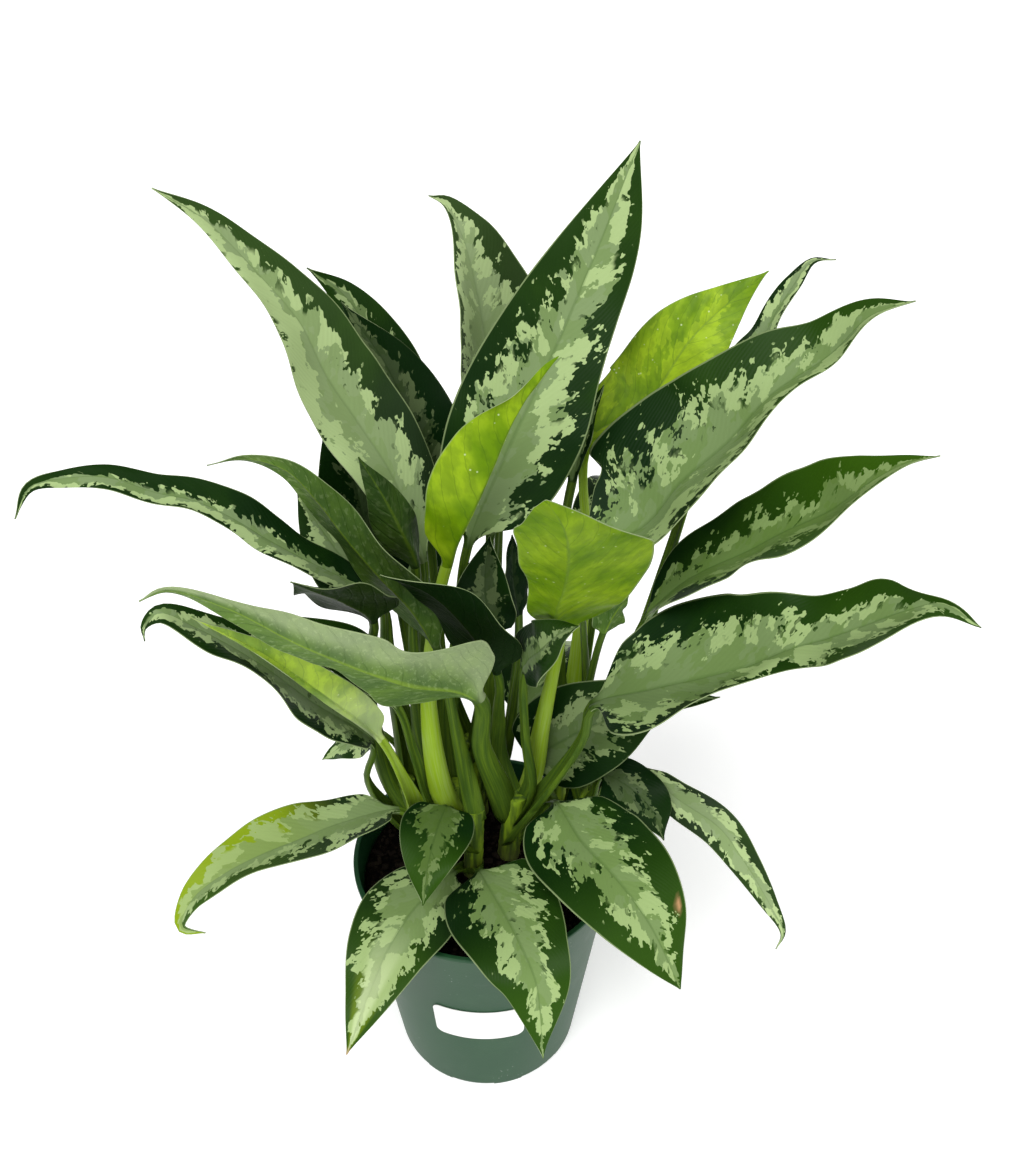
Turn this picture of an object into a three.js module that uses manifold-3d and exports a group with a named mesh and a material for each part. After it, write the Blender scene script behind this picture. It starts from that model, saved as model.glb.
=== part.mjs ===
// A Chinese evergreen in a round nursery pot: pot, blank label, soil, eight canes and their leaves.
// Millimetres, +Z up. The origin is the middle of the pot's flat base.

import * as THREE from 'three';
import { mergeVertices } from 'three/addons/utils/BufferGeometryUtils.js';
import Module from 'manifold-3d';

const wasm = await Module();
wasm.setup();

// Room that touching pieces keep between them.
const GAP = 0.3;

// Pot: a thin tapered wall, a slightly wider band under the rim and shallow notches round the foot.
const POT_HEIGHT = 162;
const POT_TOP_RADIUS = 80;
const POT_FOOT_RADIUS = 60;
const POT_WALL = 1.8;
const POT_FLOOR = 3.5;
const RIM_LIP = 1.2;
const BAND_BOTTOM = 133;
const BAND_PROUD = 0.8;
const POT_SIDES = 56;
const NOTCHES = 8;
const NOTCH_WIDTH = 28;
const NOTCH_HEIGHT = 2;
const NOTCH_DEPTH = 12;
const FIRST_NOTCH = -98.6;

// Label: a blank paper patch that follows the wall, with rounded corners.
const LABEL_BOTTOM = 67;
const LABEL_TOP = 100;
const LABEL_FROM = -115.5;
const LABEL_TO = -69.5;
const LABEL_CORNER = 5;
const LABEL_THICK = 0.6;
const LABEL_COLUMNS = 16;

// Soil: fills the pot to a little under the rim, a little higher round the canes.
const SOIL_TOP = 146;
const SOIL_CROWN = 3;
const SOIL_SIDES = 36;

const CANE_SIDES = 10;
const CANE_ROOT = 96;

// Leaf: the stalk's radii, the blade's thickness and the keel that its midrib makes below.
const STALK_FOOT = 4;
const STALK_NECK = 2.6;
const BLADE_THICK = 0.9;
const KEEL_DEPTH = 2.4;
const NECK_SHARE = 0.12;
const MIDDLE = 0.45;
const TIP_HALF = 0.5;
const SAMPLES = 24;
const BLADE_RINGS = 11;
const STALK_STEP = 55;
const ACROSS = [-1, -0.5, 0, 0.5, 1];
const STALK_ANGLES = [162, 126, 90, 54, 18];
const SHAPE_BASE = 0.62;
const SHAPE_TIP = 1.2;

const POT_PLASTIC = new THREE.MeshStandardMaterial({ color: 0x2f5b48, roughness: 0.45, metalness: 0 });
const LABEL_PAPER = new THREE.MeshStandardMaterial({ color: 0xf4f4f2, roughness: 0.6, metalness: 0 });
const POTTING_MIX = new THREE.MeshStandardMaterial({ color: 0x17120e, roughness: 0.95, metalness: 0 });
const CANE_GREEN = new THREE.MeshStandardMaterial({ color: 0x6f8a34, roughness: 0.5, metalness: 0 });
const LEAF_MATURE = new THREE.MeshStandardMaterial({ color: 0x4f7a45, roughness: 0.4, metalness: 0 });
const LEAF_YOUNG = new THREE.MeshStandardMaterial({ color: 0x8fbf2e, roughness: 0.4, metalness: 0 });

// Canes, each from its root in the soil to its top.
const CANES = {
  cane_front: { radius: 7.5, path: [[15, 10, CANE_ROOT], [15, 10, 150], [20, 5, 206]] },
  cane_left: { radius: 7, path: [[-20, 16, CANE_ROOT], [-20, 15, 150], [-17, 10, 212]] },
  cane_far_left: { radius: 6, path: [[-40, 14, CANE_ROOT], [-42, 14, 150], [-47, 12, 212]] },
  cane_middle: { radius: 6.5, path: [[-7, -6, CANE_ROOT], [-7, -6, 150], [-5, -4, 204]] },
  cane_right: { radius: 7, path: [[42, 42, CANE_ROOT], [44, 43, 150], [50, 46, 214]] },
  cane_far_right: { radius: 6.5, path: [[59, 20, CANE_ROOT], [60, 20, 150], [67, 24, 205]] },
  cane_back: { radius: 7, path: [[-4, 46, CANE_ROOT], [-5, 46, 150], [-8, 48, 212]] },
  cane_back_left: { radius: 6.5, path: [[-33, 42, CANE_ROOT], [-34, 42, 150], [-40, 43, 208]] },
};

// Leaves. The stalk starts inside its cane, the rib is the blade's midrib from base to tip,
// and the upper face looks towards facing. Both halves fold up from the midrib, droop at the
// margins, and roll about it. Halves scales the blade's left and right half. Angles are in degrees,
// lengths in millimetres, and a list of rolls or scales runs evenly from the blade's base to its tip.
const LEAVES = [
  { name: 'leaf_tall', cane: 'cane_left', width: 78, fold: 20, tip: 1.1,
    halves: [1, [1, 1, 0.97, 0.9, 0.78, 0.82, 1.02, 1.22, 1.2]],
    stalk: [[-17, 11, 208], [-20, 20, 255], [-13, 25, 320]],
    rib: [[-7, 30, 369], [15, 48, 419], [39, 70, 465], [62, 92, 515], [80, 105, 560]],
    facing: [0.1, -0.8, 0.5] },
  { name: 'leaf_tall_left', cane: 'cane_back', width: 80, fold: 32, droop: 0.05, roll: 46,
    halves: [[1, 1, 1, 1, 1.05, 1.2, 1.15, 0.6, 0.5], [1, 1, 1, 1, 1.1, 1.15, 1.2, 1.2, 1]],
    stalk: [[-7, 48, 206], [2, 55, 260], [8, 68, 320]],
    rib: [[10, 78, 383], [6, 93, 423], [2, 101, 461], [-3, 104, 490], [-9, 105, 513], [-17, 105, 529], [-25, 102, 534]],
    facing: [0, -0.95, 0.3] },
  { name: 'leaf_upper_left', cane: 'cane_left', width: 58, fold: 28, roll: 30,
    halves: [[1, 1, 1, 1, 1, 1, 0.93, 0.76, 0.72, 0.8, 1], 1],
    stalk: [[-22, 18, 180], [-33, 23, 230], [-34, 24, 320]],
    rib: [[-30, 24, 364], [-44, 34, 409], [-60, 40, 437], [-75, 43, 463], [-86, 45, 491], [-103, 44, 516],
      [-123, 38, 544], [-141, 30, 560]],
    facing: [0.2, -0.9, 0.4] },
  { name: 'leaf_back_left_high', cane: 'cane_back', width: 46, roll: 20,
    stalk: [[-9, 49, 196], [-24, 60, 240], [-38, 66, 320]],
    rib: [[-43, 76, 383], [-48, 88, 426], [-58, 95, 460], [-71, 98, 483], [-89, 96, 499]],
    facing: [0.15, -0.93, 0.35] },
  { name: 'leaf_back_left_low', cane: 'cane_back', width: 58,
    stalk: [[-7, 48, 172], [-22, 40, 210], [-26, 48, 300]],
    rib: [[-29, 56, 357], [-36, 70, 412], [-48, 80, 448], [-71, 85, 485]],
    facing: [0.15, -0.93, 0.35] },
  { name: 'leaf_shaded_left', cane: 'cane_back_left', width: 50,
    stalk: [[-37, 43, 184], [-36, 32, 225], [-43, 34, 300]],
    rib: [[-48, 37, 335], [-60, 42, 365], [-67, 48, 399], [-71, 52, 430], [-72, 56, 455]],
    facing: [0.15, -0.9, 0.4] },
  { name: 'leaf_young_upright', cane: 'cane_left', width: 62, fold: 45, young: true,
    halves: [0.15, [0.85, 0.85, 0.92, 1, 1, 1, 1, 0.88, 0.6, 0.5, 1]],
    stalk: [[-17, 10, 186], [-24, -2, 222], [-29, 2, 300]],
    rib: [[-17, 6, 375], [-3, 8, 408], [7, 12, 430], [16, 17, 450], [26, 20, 467], [39, 22, 484]],
    facing: [-0.7, 0.7, 0] },
  { name: 'leaf_folded', cane: 'cane_left', width: 34, fold: 48, rings: 9,
    stalk: [[-20, 13, 190], [-33, 10, 236], [-37, 12, 320]],
    rib: [[-33, 5, 375], [-38, -1, 399], [-45, -3, 420], [-56, -3, 444]],
    facing: [-0.5, 0.8, 0.2] },
  { name: 'leaf_young_right', cane: 'cane_right', width: 60, young: true, roll: -10,
    stalk: [[49, 46, 184], [56, 60, 240], [60, 66, 340]],
    rib: [[60, 80, 407], [90, 90, 423], [113, 98, 458], [133, 106, 476], [153, 110, 492]],
    facing: [-0.15, -0.85, 0.5] },
  { name: 'leaf_slender_back', cane: 'cane_far_right', width: 18, fold: 36, rings: 9,
    stalk: [[66, 23, 186], [84, 42, 245], [112, 62, 370]],
    rib: [[131, 78, 447], [148, 84, 465], [155, 88, 479], [163, 92, 492], [171, 94, 503], [183, 94, 504]],
    facing: [-0.6, -0.6, 0.5] },
  { name: 'leaf_upper_right', cane: 'cane_right', width: 88, fold: 34, droop: 0.05, roll: -48,
    halves: [[1, 1.12, 1.34, 1.3, 1.25, 1.12, 1.2, 1.4, 1.1], [1, 1, 1, 1.05, 0.95, 0.6, 0.65, 1, 1]],
    stalk: [[48, 45, 184], [61, 39, 228], [57, 36, 310]],
    rib: [[51, 22, 367], [87, 28, 385], [105, 36, 406], [129, 44, 426], [149, 52, 448], [178, 58, 468],
      [195, 58, 489], [213, 52, 499]],
    facing: [-0.25, -0.87, 0.42] },
  { name: 'leaf_mid_right', cane: 'cane_far_right', width: 60, fold: 34, droop: 0.05, roll: -50,
    halves: [[0.5, 0.55, 0.75, 0.93, 1.08, 1.1, 1.28, 1.5, 1.4, 1.16, 1],
      [0.8, 0.95, 1.15, 1.2, 1.35, 1.55, 1.95, 2.1, 1.9, 1.3, 1]],
    stalk: [[67, 24, 198], [69, 18, 236], [78, 22, 275]],
    rib: [[90, 26, 322], [106, 24, 347], [120, 22, 360], [140, 19, 374], [157, 14, 390], [176, 6, 408],
      [190, -2, 429], [202, -10, 444], [214, -18, 453]],
    facing: [-0.3, -0.8, 0.52] },
  { name: 'leaf_wavy_right', cane: 'cane_front', width: 76, fold: 30, droop: 0.05, roll: -45, wave: [5, 2.4, 0.6],
    halves: [[0.9, 1.05, 1.25, 1.3, 1.15, 0.95, 0.93, 1.08, 1.2, 0.2, 0.5],
      [1.3, 1.42, 1.25, 0.9, 0.7, 0.42, 0.7, 1.45, 1.95, 1.5, 1]],
    stalk: [[15, 7, 168], [22, 0, 190], [40, -9, 232], [56, -14, 273]],
    rib: [[60, -15, 296], [90, -24, 316], [115, -30, 329], [136, -36, 342], [152, -42, 357], [168, -48, 369],
      [183, -54, 382], [197, -60, 395], [211, -66, 404], [229, -72, 395]],
    facing: [-0.25, -0.76, 0.6] },
  { name: 'leaf_under_right', cane: 'cane_right', width: 64, halves: [1, [1, 1, 0.95, 0.88, 0.42, 0.5]],
    stalk: [[45, 43, 166], [34, 38, 186]],
    rib: [[28, 28, 208], [56, 12, 251], [90, 6, 274], [133, 0, 289]],
    facing: [-0.35, -0.85, 0.35] },
  { name: 'leaf_young_center', cane: 'cane_front', width: 76, young: true, rings: 12, neck: 3.1, foot: 3.8,
    tip: 0.75,
    stalk: [[19, 10, 180], [29, 13, 209], [34, 9, 255], [39, 2, 301]],
    halves: [[1.3, 1.2, 1, 0.95, 0.92, 0.98, 1.08, 1.2, 1.32, 0.9, 0.5],
      [0.6, 0.52, 0.46, 0.42, 0.4, 0.45, 0.54, 0.68, 0.86, 1.3, 1.8]],
    rib: [[42, -18, 350], [38, -44, 383], [40, -72, 419], [40, -92, 448], [37, -104, 471], [30, -106, 484]],
    facing: [0, 0.8, 0.6] },
  { name: 'leaf_small_center', cane: 'cane_front', width: 34, rings: 9, foot: 3.6, neck: 3.2,
    stalk: [[19, 6, 186], [28, -3, 222], [24, -4, 262]],
    rib: [[23, -14, 321], [31, -37, 353], [39, -51, 374], [48, -63, 389]],
    facing: [-0.2, -0.6, 0.7] },
  { name: 'leaf_cupped_left', cane: 'cane_front', width: 72, fold: 12,
    halves: [[1.6, 1.35, 1.45, 1.3, 0.7, 0.78, 0.62, 0.58, 0.6, 0.62, 1],
      [1, 0.9, 0.88, 0.5, 0.38, 0.35, 0.35, 0.38, 0.4, 0.6, 1]],
    stalk: [[14, 8, 184], [8, -3, 222], [0, -12, 262]],
    rib: [[-1, -22, 309], [-36, -50, 343], [-75, -84, 394], [-102, -100, 428], [-123, -106, 441], [-134, -108, 437]],
    facing: [-0.2, 0.85, 0.45] },
  { name: 'leaf_behind_cupped', cane: 'cane_left', width: 38, rings: 8, halves: [0.5, 1],
    stalk: [[-19, 14, 170], [-31, -2, 208], [-39, -8, 255]],
    rib: [[-45, -14, 294], [-65, -20, 328], [-88, -36, 360], [-109, -50, 386]],
    facing: [0, -0.6, 0.8] },
  { name: 'leaf_twisting_left', cane: 'cane_far_left', width: 28, fold: 24, roll: [0, 10, -15, 0], wave: [3, 2, 0],
    halves: [[1, 1, 0.85, 0.65, 0.55, 0.55, 0.55, 0.8, 1, 1, 1], 1],
    stalk: [[-47, 12, 207], [-50, 21, 245], [-54, 18, 305]],
    rib: [[-54, 14, 347], [-70, 8, 364], [-88, 0, 382], [-105, -6, 399], [-118, -10, 413], [-134, -14, 426],
      [-150, -18, 433], [-169, -24, 445], [-187, -30, 448], [-200, -36, 447], [-208, -42, 434]],
    facing: [0, -0.45, 0.9] },
  { name: 'leaf_long_under', cane: 'cane_middle', width: 40, tip: 1.5,
    stalk: [[-6, -5, 196], [-12, -2, 240], [-17, -6, 290]],
    rib: [[-22, -7, 328], [-34, -3, 352], [-50, -4, 375], [-66, 0, 396], [-80, 8, 413], [-95, 14, 427],
      [-116, 18, 431], [-135, 18, 427]],
    facing: [0, 0.8, 0.6] },
  { name: 'leaf_silver_left', cane: 'cane_back_left', width: 42, rings: 9,
    stalk: [[-39, 43, 202], [-51, 40, 245], [-53, 30, 300]],
    rib: [[-54, 22, 336], [-72, 24, 364], [-86, 28, 387], [-95, 32, 405]],
    facing: [0.1, -0.85, 0.5] },
  { name: 'leaf_round_under', cane: 'cane_far_left', width: 50, rings: 9,
    stalk: [[-46, 12, 180], [-58, 12, 213], [-64, 12, 262], [-61, 4, 315]],
    rib: [[-56, -2, 345], [-67, -20, 371], [-77, -40, 392], [-85, -52, 406]],
    facing: [0, 0.7, 0.7] },
  { name: 'leaf_low_left', cane: 'cane_far_left', width: 50, fold: 28, roll: 42,
    halves: [[0.8, 0.9, 0.93, 0.98, 1, 0.98, 0.78, 0.86, 1.35, 1.6, 1], 1],
    stalk: [[-43, 13, 160], [-60, 9, 190], [-68, 1, 225]],
    rib: [[-62, -2, 254], [-90, -25, 309], [-108, -42, 348], [-131, -58, 384], [-144, -64, 397], [-151, -67, 392],
      [-152, -68, 384]],
    facing: [0.1, -0.65, 0.75] },
  { name: 'leaf_young_low_left', cane: 'cane_far_left', width: 34, fold: 40, young: true,
    halves: [0.25, [1.03, 1, 0.9, 0.75, 0.65]],
    stalk: [[-44, 13, 176], [-42, 0, 204], [-46, -6, 230]],
    rib: [[-56, -12, 268], [-77, -37, 321], [-103, -60, 372], [-124, -82, 409]],
    facing: [-0.1, -0.6, 0.8] },
  { name: 'leaf_small_pale', cane: 'cane_back_left', width: 26, rings: 8, foot: 3.2, neck: 2,
    stalk: [[-35, 42, 165], [-48, 44, 192]],
    rib: [[-62, 45, 217], [-87, 55, 201], [-107, 60, 181]],
    facing: [0, -0.5, 0.85] },
  { name: 'leaf_bottom_left', cane: 'cane_middle', width: 50, fold: 30, droop: 0.05, roll: 42,
    halves: [1, [0.8, 0.75, 0.74, 0.77, 0.83, 0.92, 1, 1.03, 1, 1, 1]],
    stalk: [[-7, -5, 170], [-24, -9, 190], [-38, -10, 201]],
    rib: [[-50, -8, 207], [-81, -32, 222], [-100, -50, 229], [-119, -66, 234], [-137, -80, 234], [-151, -90, 227],
      [-156, -98, 216], [-144, -100, 213]],
    facing: [0.15, -0.7, 0.7] },
  { name: 'leaf_small_front', cane: 'cane_left', width: 44, rings: 9,
    stalk: [[-20, 15, 166], [-18, 1, 190]],
    rib: [[-21, -12, 214], [-26, -36, 219], [-30, -56, 212], [-32, -74, 202]],
    facing: [0, -0.55, 0.83] },
  { name: 'leaf_front_left', cane: 'cane_middle', width: 58, fold: 14,
    stalk: [[-7, -6, 150], [-13, -9, 157]],
    rib: [[-18, -16, 162], [-40, -52, 171], [-52, -78, 171], [-63, -106, 161], [-73, -126, 142]],
    facing: [-0.1, -0.45, 0.9] },
  { name: 'leaf_front', cane: 'cane_middle', width: 66, fold: 14, base: 0.5,
    stalk: [[-7, -6, 152], [-4, -14, 162]],
    rib: [[-3, -24, 172], [13, -64, 182], [23, -88, 182], [30, -104, 175], [34, -125, 137]],
    facing: [0, -0.45, 0.9] },
  { name: 'leaf_front_right', cane: 'cane_front', width: 74, fold: 14, tip: 1,
    stalk: [[16, 9, 158], [32, 13, 178]],
    rib: [[42, 2, 203], [58, -36, 209], [75, -60, 208], [92, -82, 197], [109, -103, 168]],
    facing: [0.2, -0.4, 0.9] },
  { name: 'leaf_behind_front_right', cane: 'cane_far_right', width: 44, rings: 9,
    halves: [[1, 0.8, 0.78, 0.82, 0.9, 1, 1], 1],
    stalk: [[62, 21, 174], [66, 12, 196]],
    rib: [[71, 16, 212], [88, 6, 211], [101, -4, 202], [108, -14, 187]],
    facing: [0.1, -0.5, 0.85] },
  { name: 'leaf_slender_right', cane: 'cane_far_right', width: 25,
    stalk: [[61, 20, 158], [78, 26, 188]],
    rib: [[92, 22, 211], [119, 8, 198], [142, -8, 191], [156, -20, 176], [170, -35, 158], [180, -45, 140],
      [176, -50, 131]],
    facing: [-0.4, -0.5, 0.75] },
  { name: 'leaf_dark_center', cane: 'cane_front', width: 44, rings: 10,
    stalk: [[17, 8, 197], [8, 17, 226], [9, 11, 265]],
    rib: [[9, -12, 318], [-5, -24, 357], [-24, -30, 384], [-46, -34, 397]],
    facing: [0.2, 0.8, 0.5] },
  { name: 'leaf_rolled', cane: 'cane_back', width: 44, fold: 38, rings: 8,
    stalk: [[-6, 46, 180], [3, 34, 225], [4, 28, 275]],
    rib: [[5, 26, 314], [2, 28, 346], [5, 34, 374]],
    facing: [-0.1, -0.8, 0.5] },
  { name: 'leaf_narrow_dark', cane: 'cane_back', width: 20, rings: 8, foot: 3.2,
    stalk: [[-5, 46, 160], [9, 45, 190], [19, 41, 270]],
    rib: [[21, 40, 316], [18, 44, 337], [17, 52, 363]],
    facing: [0.6, -0.7, 0.3] },
  { name: 'leaf_small_right', cane: 'cane_far_right', width: 24, rings: 8, foot: 3.2, neck: 2.2,
    stalk: [[64, 22, 174], [56, 28, 215], [62, 31, 270]],
    rib: [[69, 36, 306], [75, 38, 319], [83, 42, 328]],
    facing: [0, 0.8, 0.5] },
  { name: 'leaf_behind_tall', cane: 'cane_right', width: 22, rings: 8, halves: [1, 0.3],
    stalk: [[50, 46, 209], [44, 56, 255], [46, 60, 358]],
    rib: [[50, 62, 391], [57, 69, 416], [66, 77, 442]],
    facing: [0.2, -0.8, 0.5] },
  { name: 'leaf_rear_left', cane: 'cane_back_left', width: 56,
    stalk: [[-36, 43, 178], [-38, 66, 240]],
    rib: [[-42, 85, 285], [-52, 115, 318], [-60, 150, 325], [-68, 182, 302], [-72, 204, 272]],
    facing: [0, 0.2, 1] },
  { name: 'leaf_rear_right', cane: 'cane_right', width: 58,
    stalk: [[45, 44, 156], [56, 60, 196], [63, 74, 250]],
    rib: [[70, 88, 300], [80, 118, 328], [90, 152, 333], [98, 188, 308], [101, 208, 278]],
    facing: [0, 0.2, 1] },
  { name: 'leaf_rear_low', cane: 'cane_back', width: 50,
    stalk: [[-5, 46, 158], [6, 66, 180]],
    rib: [[18, 85, 195], [35, 120, 208], [50, 155, 202], [60, 185, 178]],
    facing: [0, 0.2, 1] },
  { name: 'leaf_rear_high', cane: 'cane_back', width: 54,
    stalk: [[-6, 47, 170], [4, 70, 225], [4, 78, 300]],
    rib: [[4, 82, 340], [10, 105, 375], [18, 140, 395], [22, 175, 385], [22, 196, 365]],
    facing: [0, 0.1, 1] },
];

function vector(point) {
  return new THREE.Vector3(...point);
}

function smooth(low, high, value) {
  return THREE.MathUtils.smoothstep(value, low, high);
}

function toSolid(geometry) {
  const bare = geometry.clone();
  bare.deleteAttribute('normal');
  bare.deleteAttribute('uv');
  const merged = mergeVertices(bare, 1e-4);
  return new wasm.Manifold(new wasm.Mesh({
    numProp: 3,
    vertProperties: new Float32Array(merged.attributes.position.array),
    triVerts: new Uint32Array(merged.index.array),
  }));
}

function toGeometry(solid) {
  const mesh = solid.getMesh();
  const geometry = new THREE.BufferGeometry();
  geometry.setAttribute('position', new THREE.BufferAttribute(new Float32Array(mesh.vertProperties), 3));
  geometry.setIndex(new THREE.BufferAttribute(new Uint32Array(mesh.triVerts), 1));
  geometry.computeVertexNormals();
  return geometry;
}

function named(name, geometry, material) {
  const mesh = new THREE.Mesh(geometry, material);
  mesh.name = name;
  return mesh;
}

// A closed body from rings of points that all run the same way round, with its two ends filled.
// The face between ring points k and k+1 is cut along the diagonal that split(k) picks.
function ringBody(rings, split) {
  const count = rings[0].length;
  const points = rings.flat();
  const faces = [];
  for (let row = 0; row + 1 < rings.length; row += 1) {
    for (let k = 0; k < count; k += 1) {
      const a = row * count + k;
      const b = row * count + ((k + 1) % count);
      const c = a + count;
      const d = b + count;
      if (split(k)) {
        faces.push(a, b, d, a, d, c);
      } else {
        faces.push(a, b, c, b, d, c);
      }
    }
  }
  for (const [start, turned] of [[0, true], [(rings.length - 1) * count, false]]) {
    const middle = new THREE.Vector3();
    for (let k = 0; k < count; k += 1) {
      middle.addScaledVector(points[start + k], 1 / count);
    }
    points.push(middle);
    const hub = points.length - 1;
    for (let k = 0; k < count; k += 1) {
      const a = start + k;
      const b = start + ((k + 1) % count);
      faces.push(...(turned ? [b, a, hub] : [a, b, hub]));
    }
  }
  const geometry = new THREE.BufferGeometry();
  geometry.setAttribute('position', new THREE.Float32BufferAttribute(points.flatMap((p) => p.toArray()), 3));
  geometry.setIndex(faces);
  geometry.computeVertexNormals();
  return geometry;
}

function wallRadius(z) {
  return THREE.MathUtils.mapLinear(z, 0, POT_HEIGHT, POT_FOOT_RADIUS, POT_TOP_RADIUS);
}

function lathe(profile, sides) {
  const geometry = new THREE.LatheGeometry(profile.map(([r, z]) => new THREE.Vector2(r, z)), sides);
  geometry.rotateX(Math.PI / 2);
  return geometry;
}

function pot() {
  const inner = (z) => wallRadius(z) - POT_WALL;
  const profile = [
    [0, 0],
    [POT_FOOT_RADIUS - 1, 0],
    [wallRadius(1), 1],
    [wallRadius(BAND_BOTTOM), BAND_BOTTOM],
    [wallRadius(BAND_BOTTOM) + BAND_PROUD, BAND_BOTTOM + 0.8],
    [wallRadius(POT_HEIGHT - 3) + BAND_PROUD, POT_HEIGHT - 3],
    [POT_TOP_RADIUS + RIM_LIP, POT_HEIGHT - 2.4],
    [POT_TOP_RADIUS + RIM_LIP, POT_HEIGHT - 0.4],
    [POT_TOP_RADIUS + RIM_LIP - 0.4, POT_HEIGHT],
    [inner(POT_HEIGHT) + 0.4, POT_HEIGHT],
    [inner(POT_HEIGHT), POT_HEIGHT - 0.4],
    [inner(POT_FLOOR), POT_FLOOR],
    [0, POT_FLOOR],
  ];
  let body = toSolid(lathe(profile, POT_SIDES));
  for (let i = 0; i < NOTCHES; i += 1) {
    const cutter = new THREE.BoxGeometry(NOTCH_DEPTH * 2, NOTCH_WIDTH, NOTCH_HEIGHT * 2);
    cutter.translate(POT_FOOT_RADIUS, 0, 0);
    cutter.rotateZ(THREE.MathUtils.degToRad(FIRST_NOTCH + (i * 360) / NOTCHES));
    body = body.subtract(toSolid(cutter));
  }
  return named('pot', toGeometry(body), POT_PLASTIC);
}

function label() {
  const middleRadius = wallRadius((LABEL_BOTTOM + LABEL_TOP) / 2);
  const halfWidth = (THREE.MathUtils.degToRad(LABEL_TO - LABEL_FROM) * middleRadius) / 2;
  const halfHeight = (LABEL_TOP - LABEL_BOTTOM) / 2;
  const rings = [];
  for (let i = 0; i <= LABEL_COLUMNS; i += 1) {
    const turn = (i / LABEL_COLUMNS) * 2 - 1;
    const along = halfWidth * Math.sin((turn * Math.PI) / 2);
    const past = Math.max(0, Math.abs(along) - (halfWidth - LABEL_CORNER));
    const cut = LABEL_CORNER - Math.sqrt(Math.max(0, LABEL_CORNER ** 2 - past ** 2)) * 0.999;
    const angle = THREE.MathUtils.degToRad((LABEL_FROM + LABEL_TO) / 2) + along / middleRadius;
    const corner = (side, out) => {
      const z = (LABEL_BOTTOM + LABEL_TOP) / 2 + side * (halfHeight - cut);
      const radius = wallRadius(z) + GAP + out * LABEL_THICK;
      return new THREE.Vector3(radius * Math.cos(angle), radius * Math.sin(angle), z);
    };
    rings.push([corner(-1, 0), corner(-1, 1), corner(1, 1), corner(1, 0)]);
  }
  return named('label', ringBody(rings.reverse(), () => true), LABEL_PAPER);
}

function soil(caneHoles) {
  const edge = (z) => wallRadius(z) - POT_WALL - GAP - 0.2;
  const floor = POT_FLOOR + GAP;
  const profile = [
    [0, floor],
    [edge(floor), floor],
    [edge(SOIL_TOP - 2), SOIL_TOP - 2],
    [edge(SOIL_TOP) - 4, SOIL_TOP],
    [45, SOIL_TOP + SOIL_CROWN * 0.6],
    [0, SOIL_TOP + SOIL_CROWN],
  ];
  let body = toSolid(lathe(profile, SOIL_SIDES));
  for (const hole of caneHoles) {
    body = body.subtract(hole);
  }
  return named('soil', toGeometry(body), POTTING_MIX);
}

// A round stem along a smooth line, grown all over by extra.
function caneGeometry({ radius, path }, extra) {
  const curve = new THREE.CatmullRomCurve3(path.map(vector));
  const steps = 6;
  const grown = (radius + extra) / Math.cos(Math.PI / CANE_SIDES);
  const rings = [];
  for (let i = 0; i <= steps; i += 1) {
    const point = curve.getPoint(i / steps);
    const taper = 1 - 0.15 * (i / steps);
    const lift = i === 0 ? -extra : i === steps ? extra : 0;
    const ring = [];
    for (let k = 0; k < CANE_SIDES; k += 1) {
      const angle = (k * 2 * Math.PI) / CANE_SIDES;
      ring.push(new THREE.Vector3(
        point.x + grown * taper * Math.cos(angle),
        point.y + grown * taper * Math.sin(angle),
        point.z + lift,
      ));
    }
    rings.push(ring);
  }
  return ringBody(rings, () => true);
}

// The leaf's midline as evenly spaced places with a tangent and an upward normal at each.
function leafLine(leaf) {
  const knots = [...leaf.stalk, ...leaf.rib].map(vector);
  const curve = new THREE.CatmullRomCurve3(knots);
  const count = (knots.length - 1) * SAMPLES;
  const points = [];
  const lengths = [0];
  for (let i = 0; i <= count; i += 1) {
    points.push(curve.getPoint(i / count));
    if (i > 0) {
      lengths.push(lengths[i - 1] + points[i].distanceTo(points[i - 1]));
    }
  }
  const tangents = points.map((point, i) => {
    const ahead = points[Math.min(i + 1, count)];
    const behind = points[Math.max(i - 1, 0)];
    return ahead.clone().sub(behind).normalize();
  });
  const baseLength = lengths[leaf.stalk.length * SAMPLES];
  const middleLength = THREE.MathUtils.lerp(baseLength, lengths[count], MIDDLE);
  const middle = lengths.findIndex((length) => length >= middleLength);
  const flatten = (normal, tangent) => normal.clone().addScaledVector(tangent, -normal.dot(tangent)).normalize();
  const normals = [];
  normals[middle] = flatten(vector(leaf.facing), tangents[middle]);
  for (let i = middle + 1; i <= count; i += 1) {
    normals[i] = flatten(normals[i - 1], tangents[i]);
  }
  for (let i = middle - 1; i >= 0; i -= 1) {
    normals[i] = flatten(normals[i + 1], tangents[i]);
  }
  const at = (length) => {
    const found = lengths.findIndex((value) => value >= length);
    const next = found < 1 ? 1 : found;
    const share = (length - lengths[next - 1]) / (lengths[next] - lengths[next - 1]);
    return {
      point: points[next - 1].clone().lerp(points[next], share),
      tangent: tangents[next - 1].clone().lerp(tangents[next], share).normalize(),
      normal: normals[next - 1].clone().lerp(normals[next], share).normalize(),
    };
  };
  return { at, baseLength, length: lengths[count] };
}

// One value, or a smooth curve through values that are spread evenly from the blade's base to its tip.
function spread(values, v) {
  if (!Array.isArray(values)) {
    return values;
  }
  const last = values.length - 1;
  const place = THREE.MathUtils.clamp(v, 0, 1) * last;
  const i = Math.min(Math.floor(place), last - 1);
  const t = place - i;
  const [a, b, c, d] = [i - 1, i, i + 1, i + 2].map((k) => values[THREE.MathUtils.clamp(k, 0, last)]);
  const bend = t * (2 * a - 5 * b + 4 * c - d + t * (3 * b - a - 3 * c + d));
  return b + (t * (c - a + bend)) / 2;
}

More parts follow.
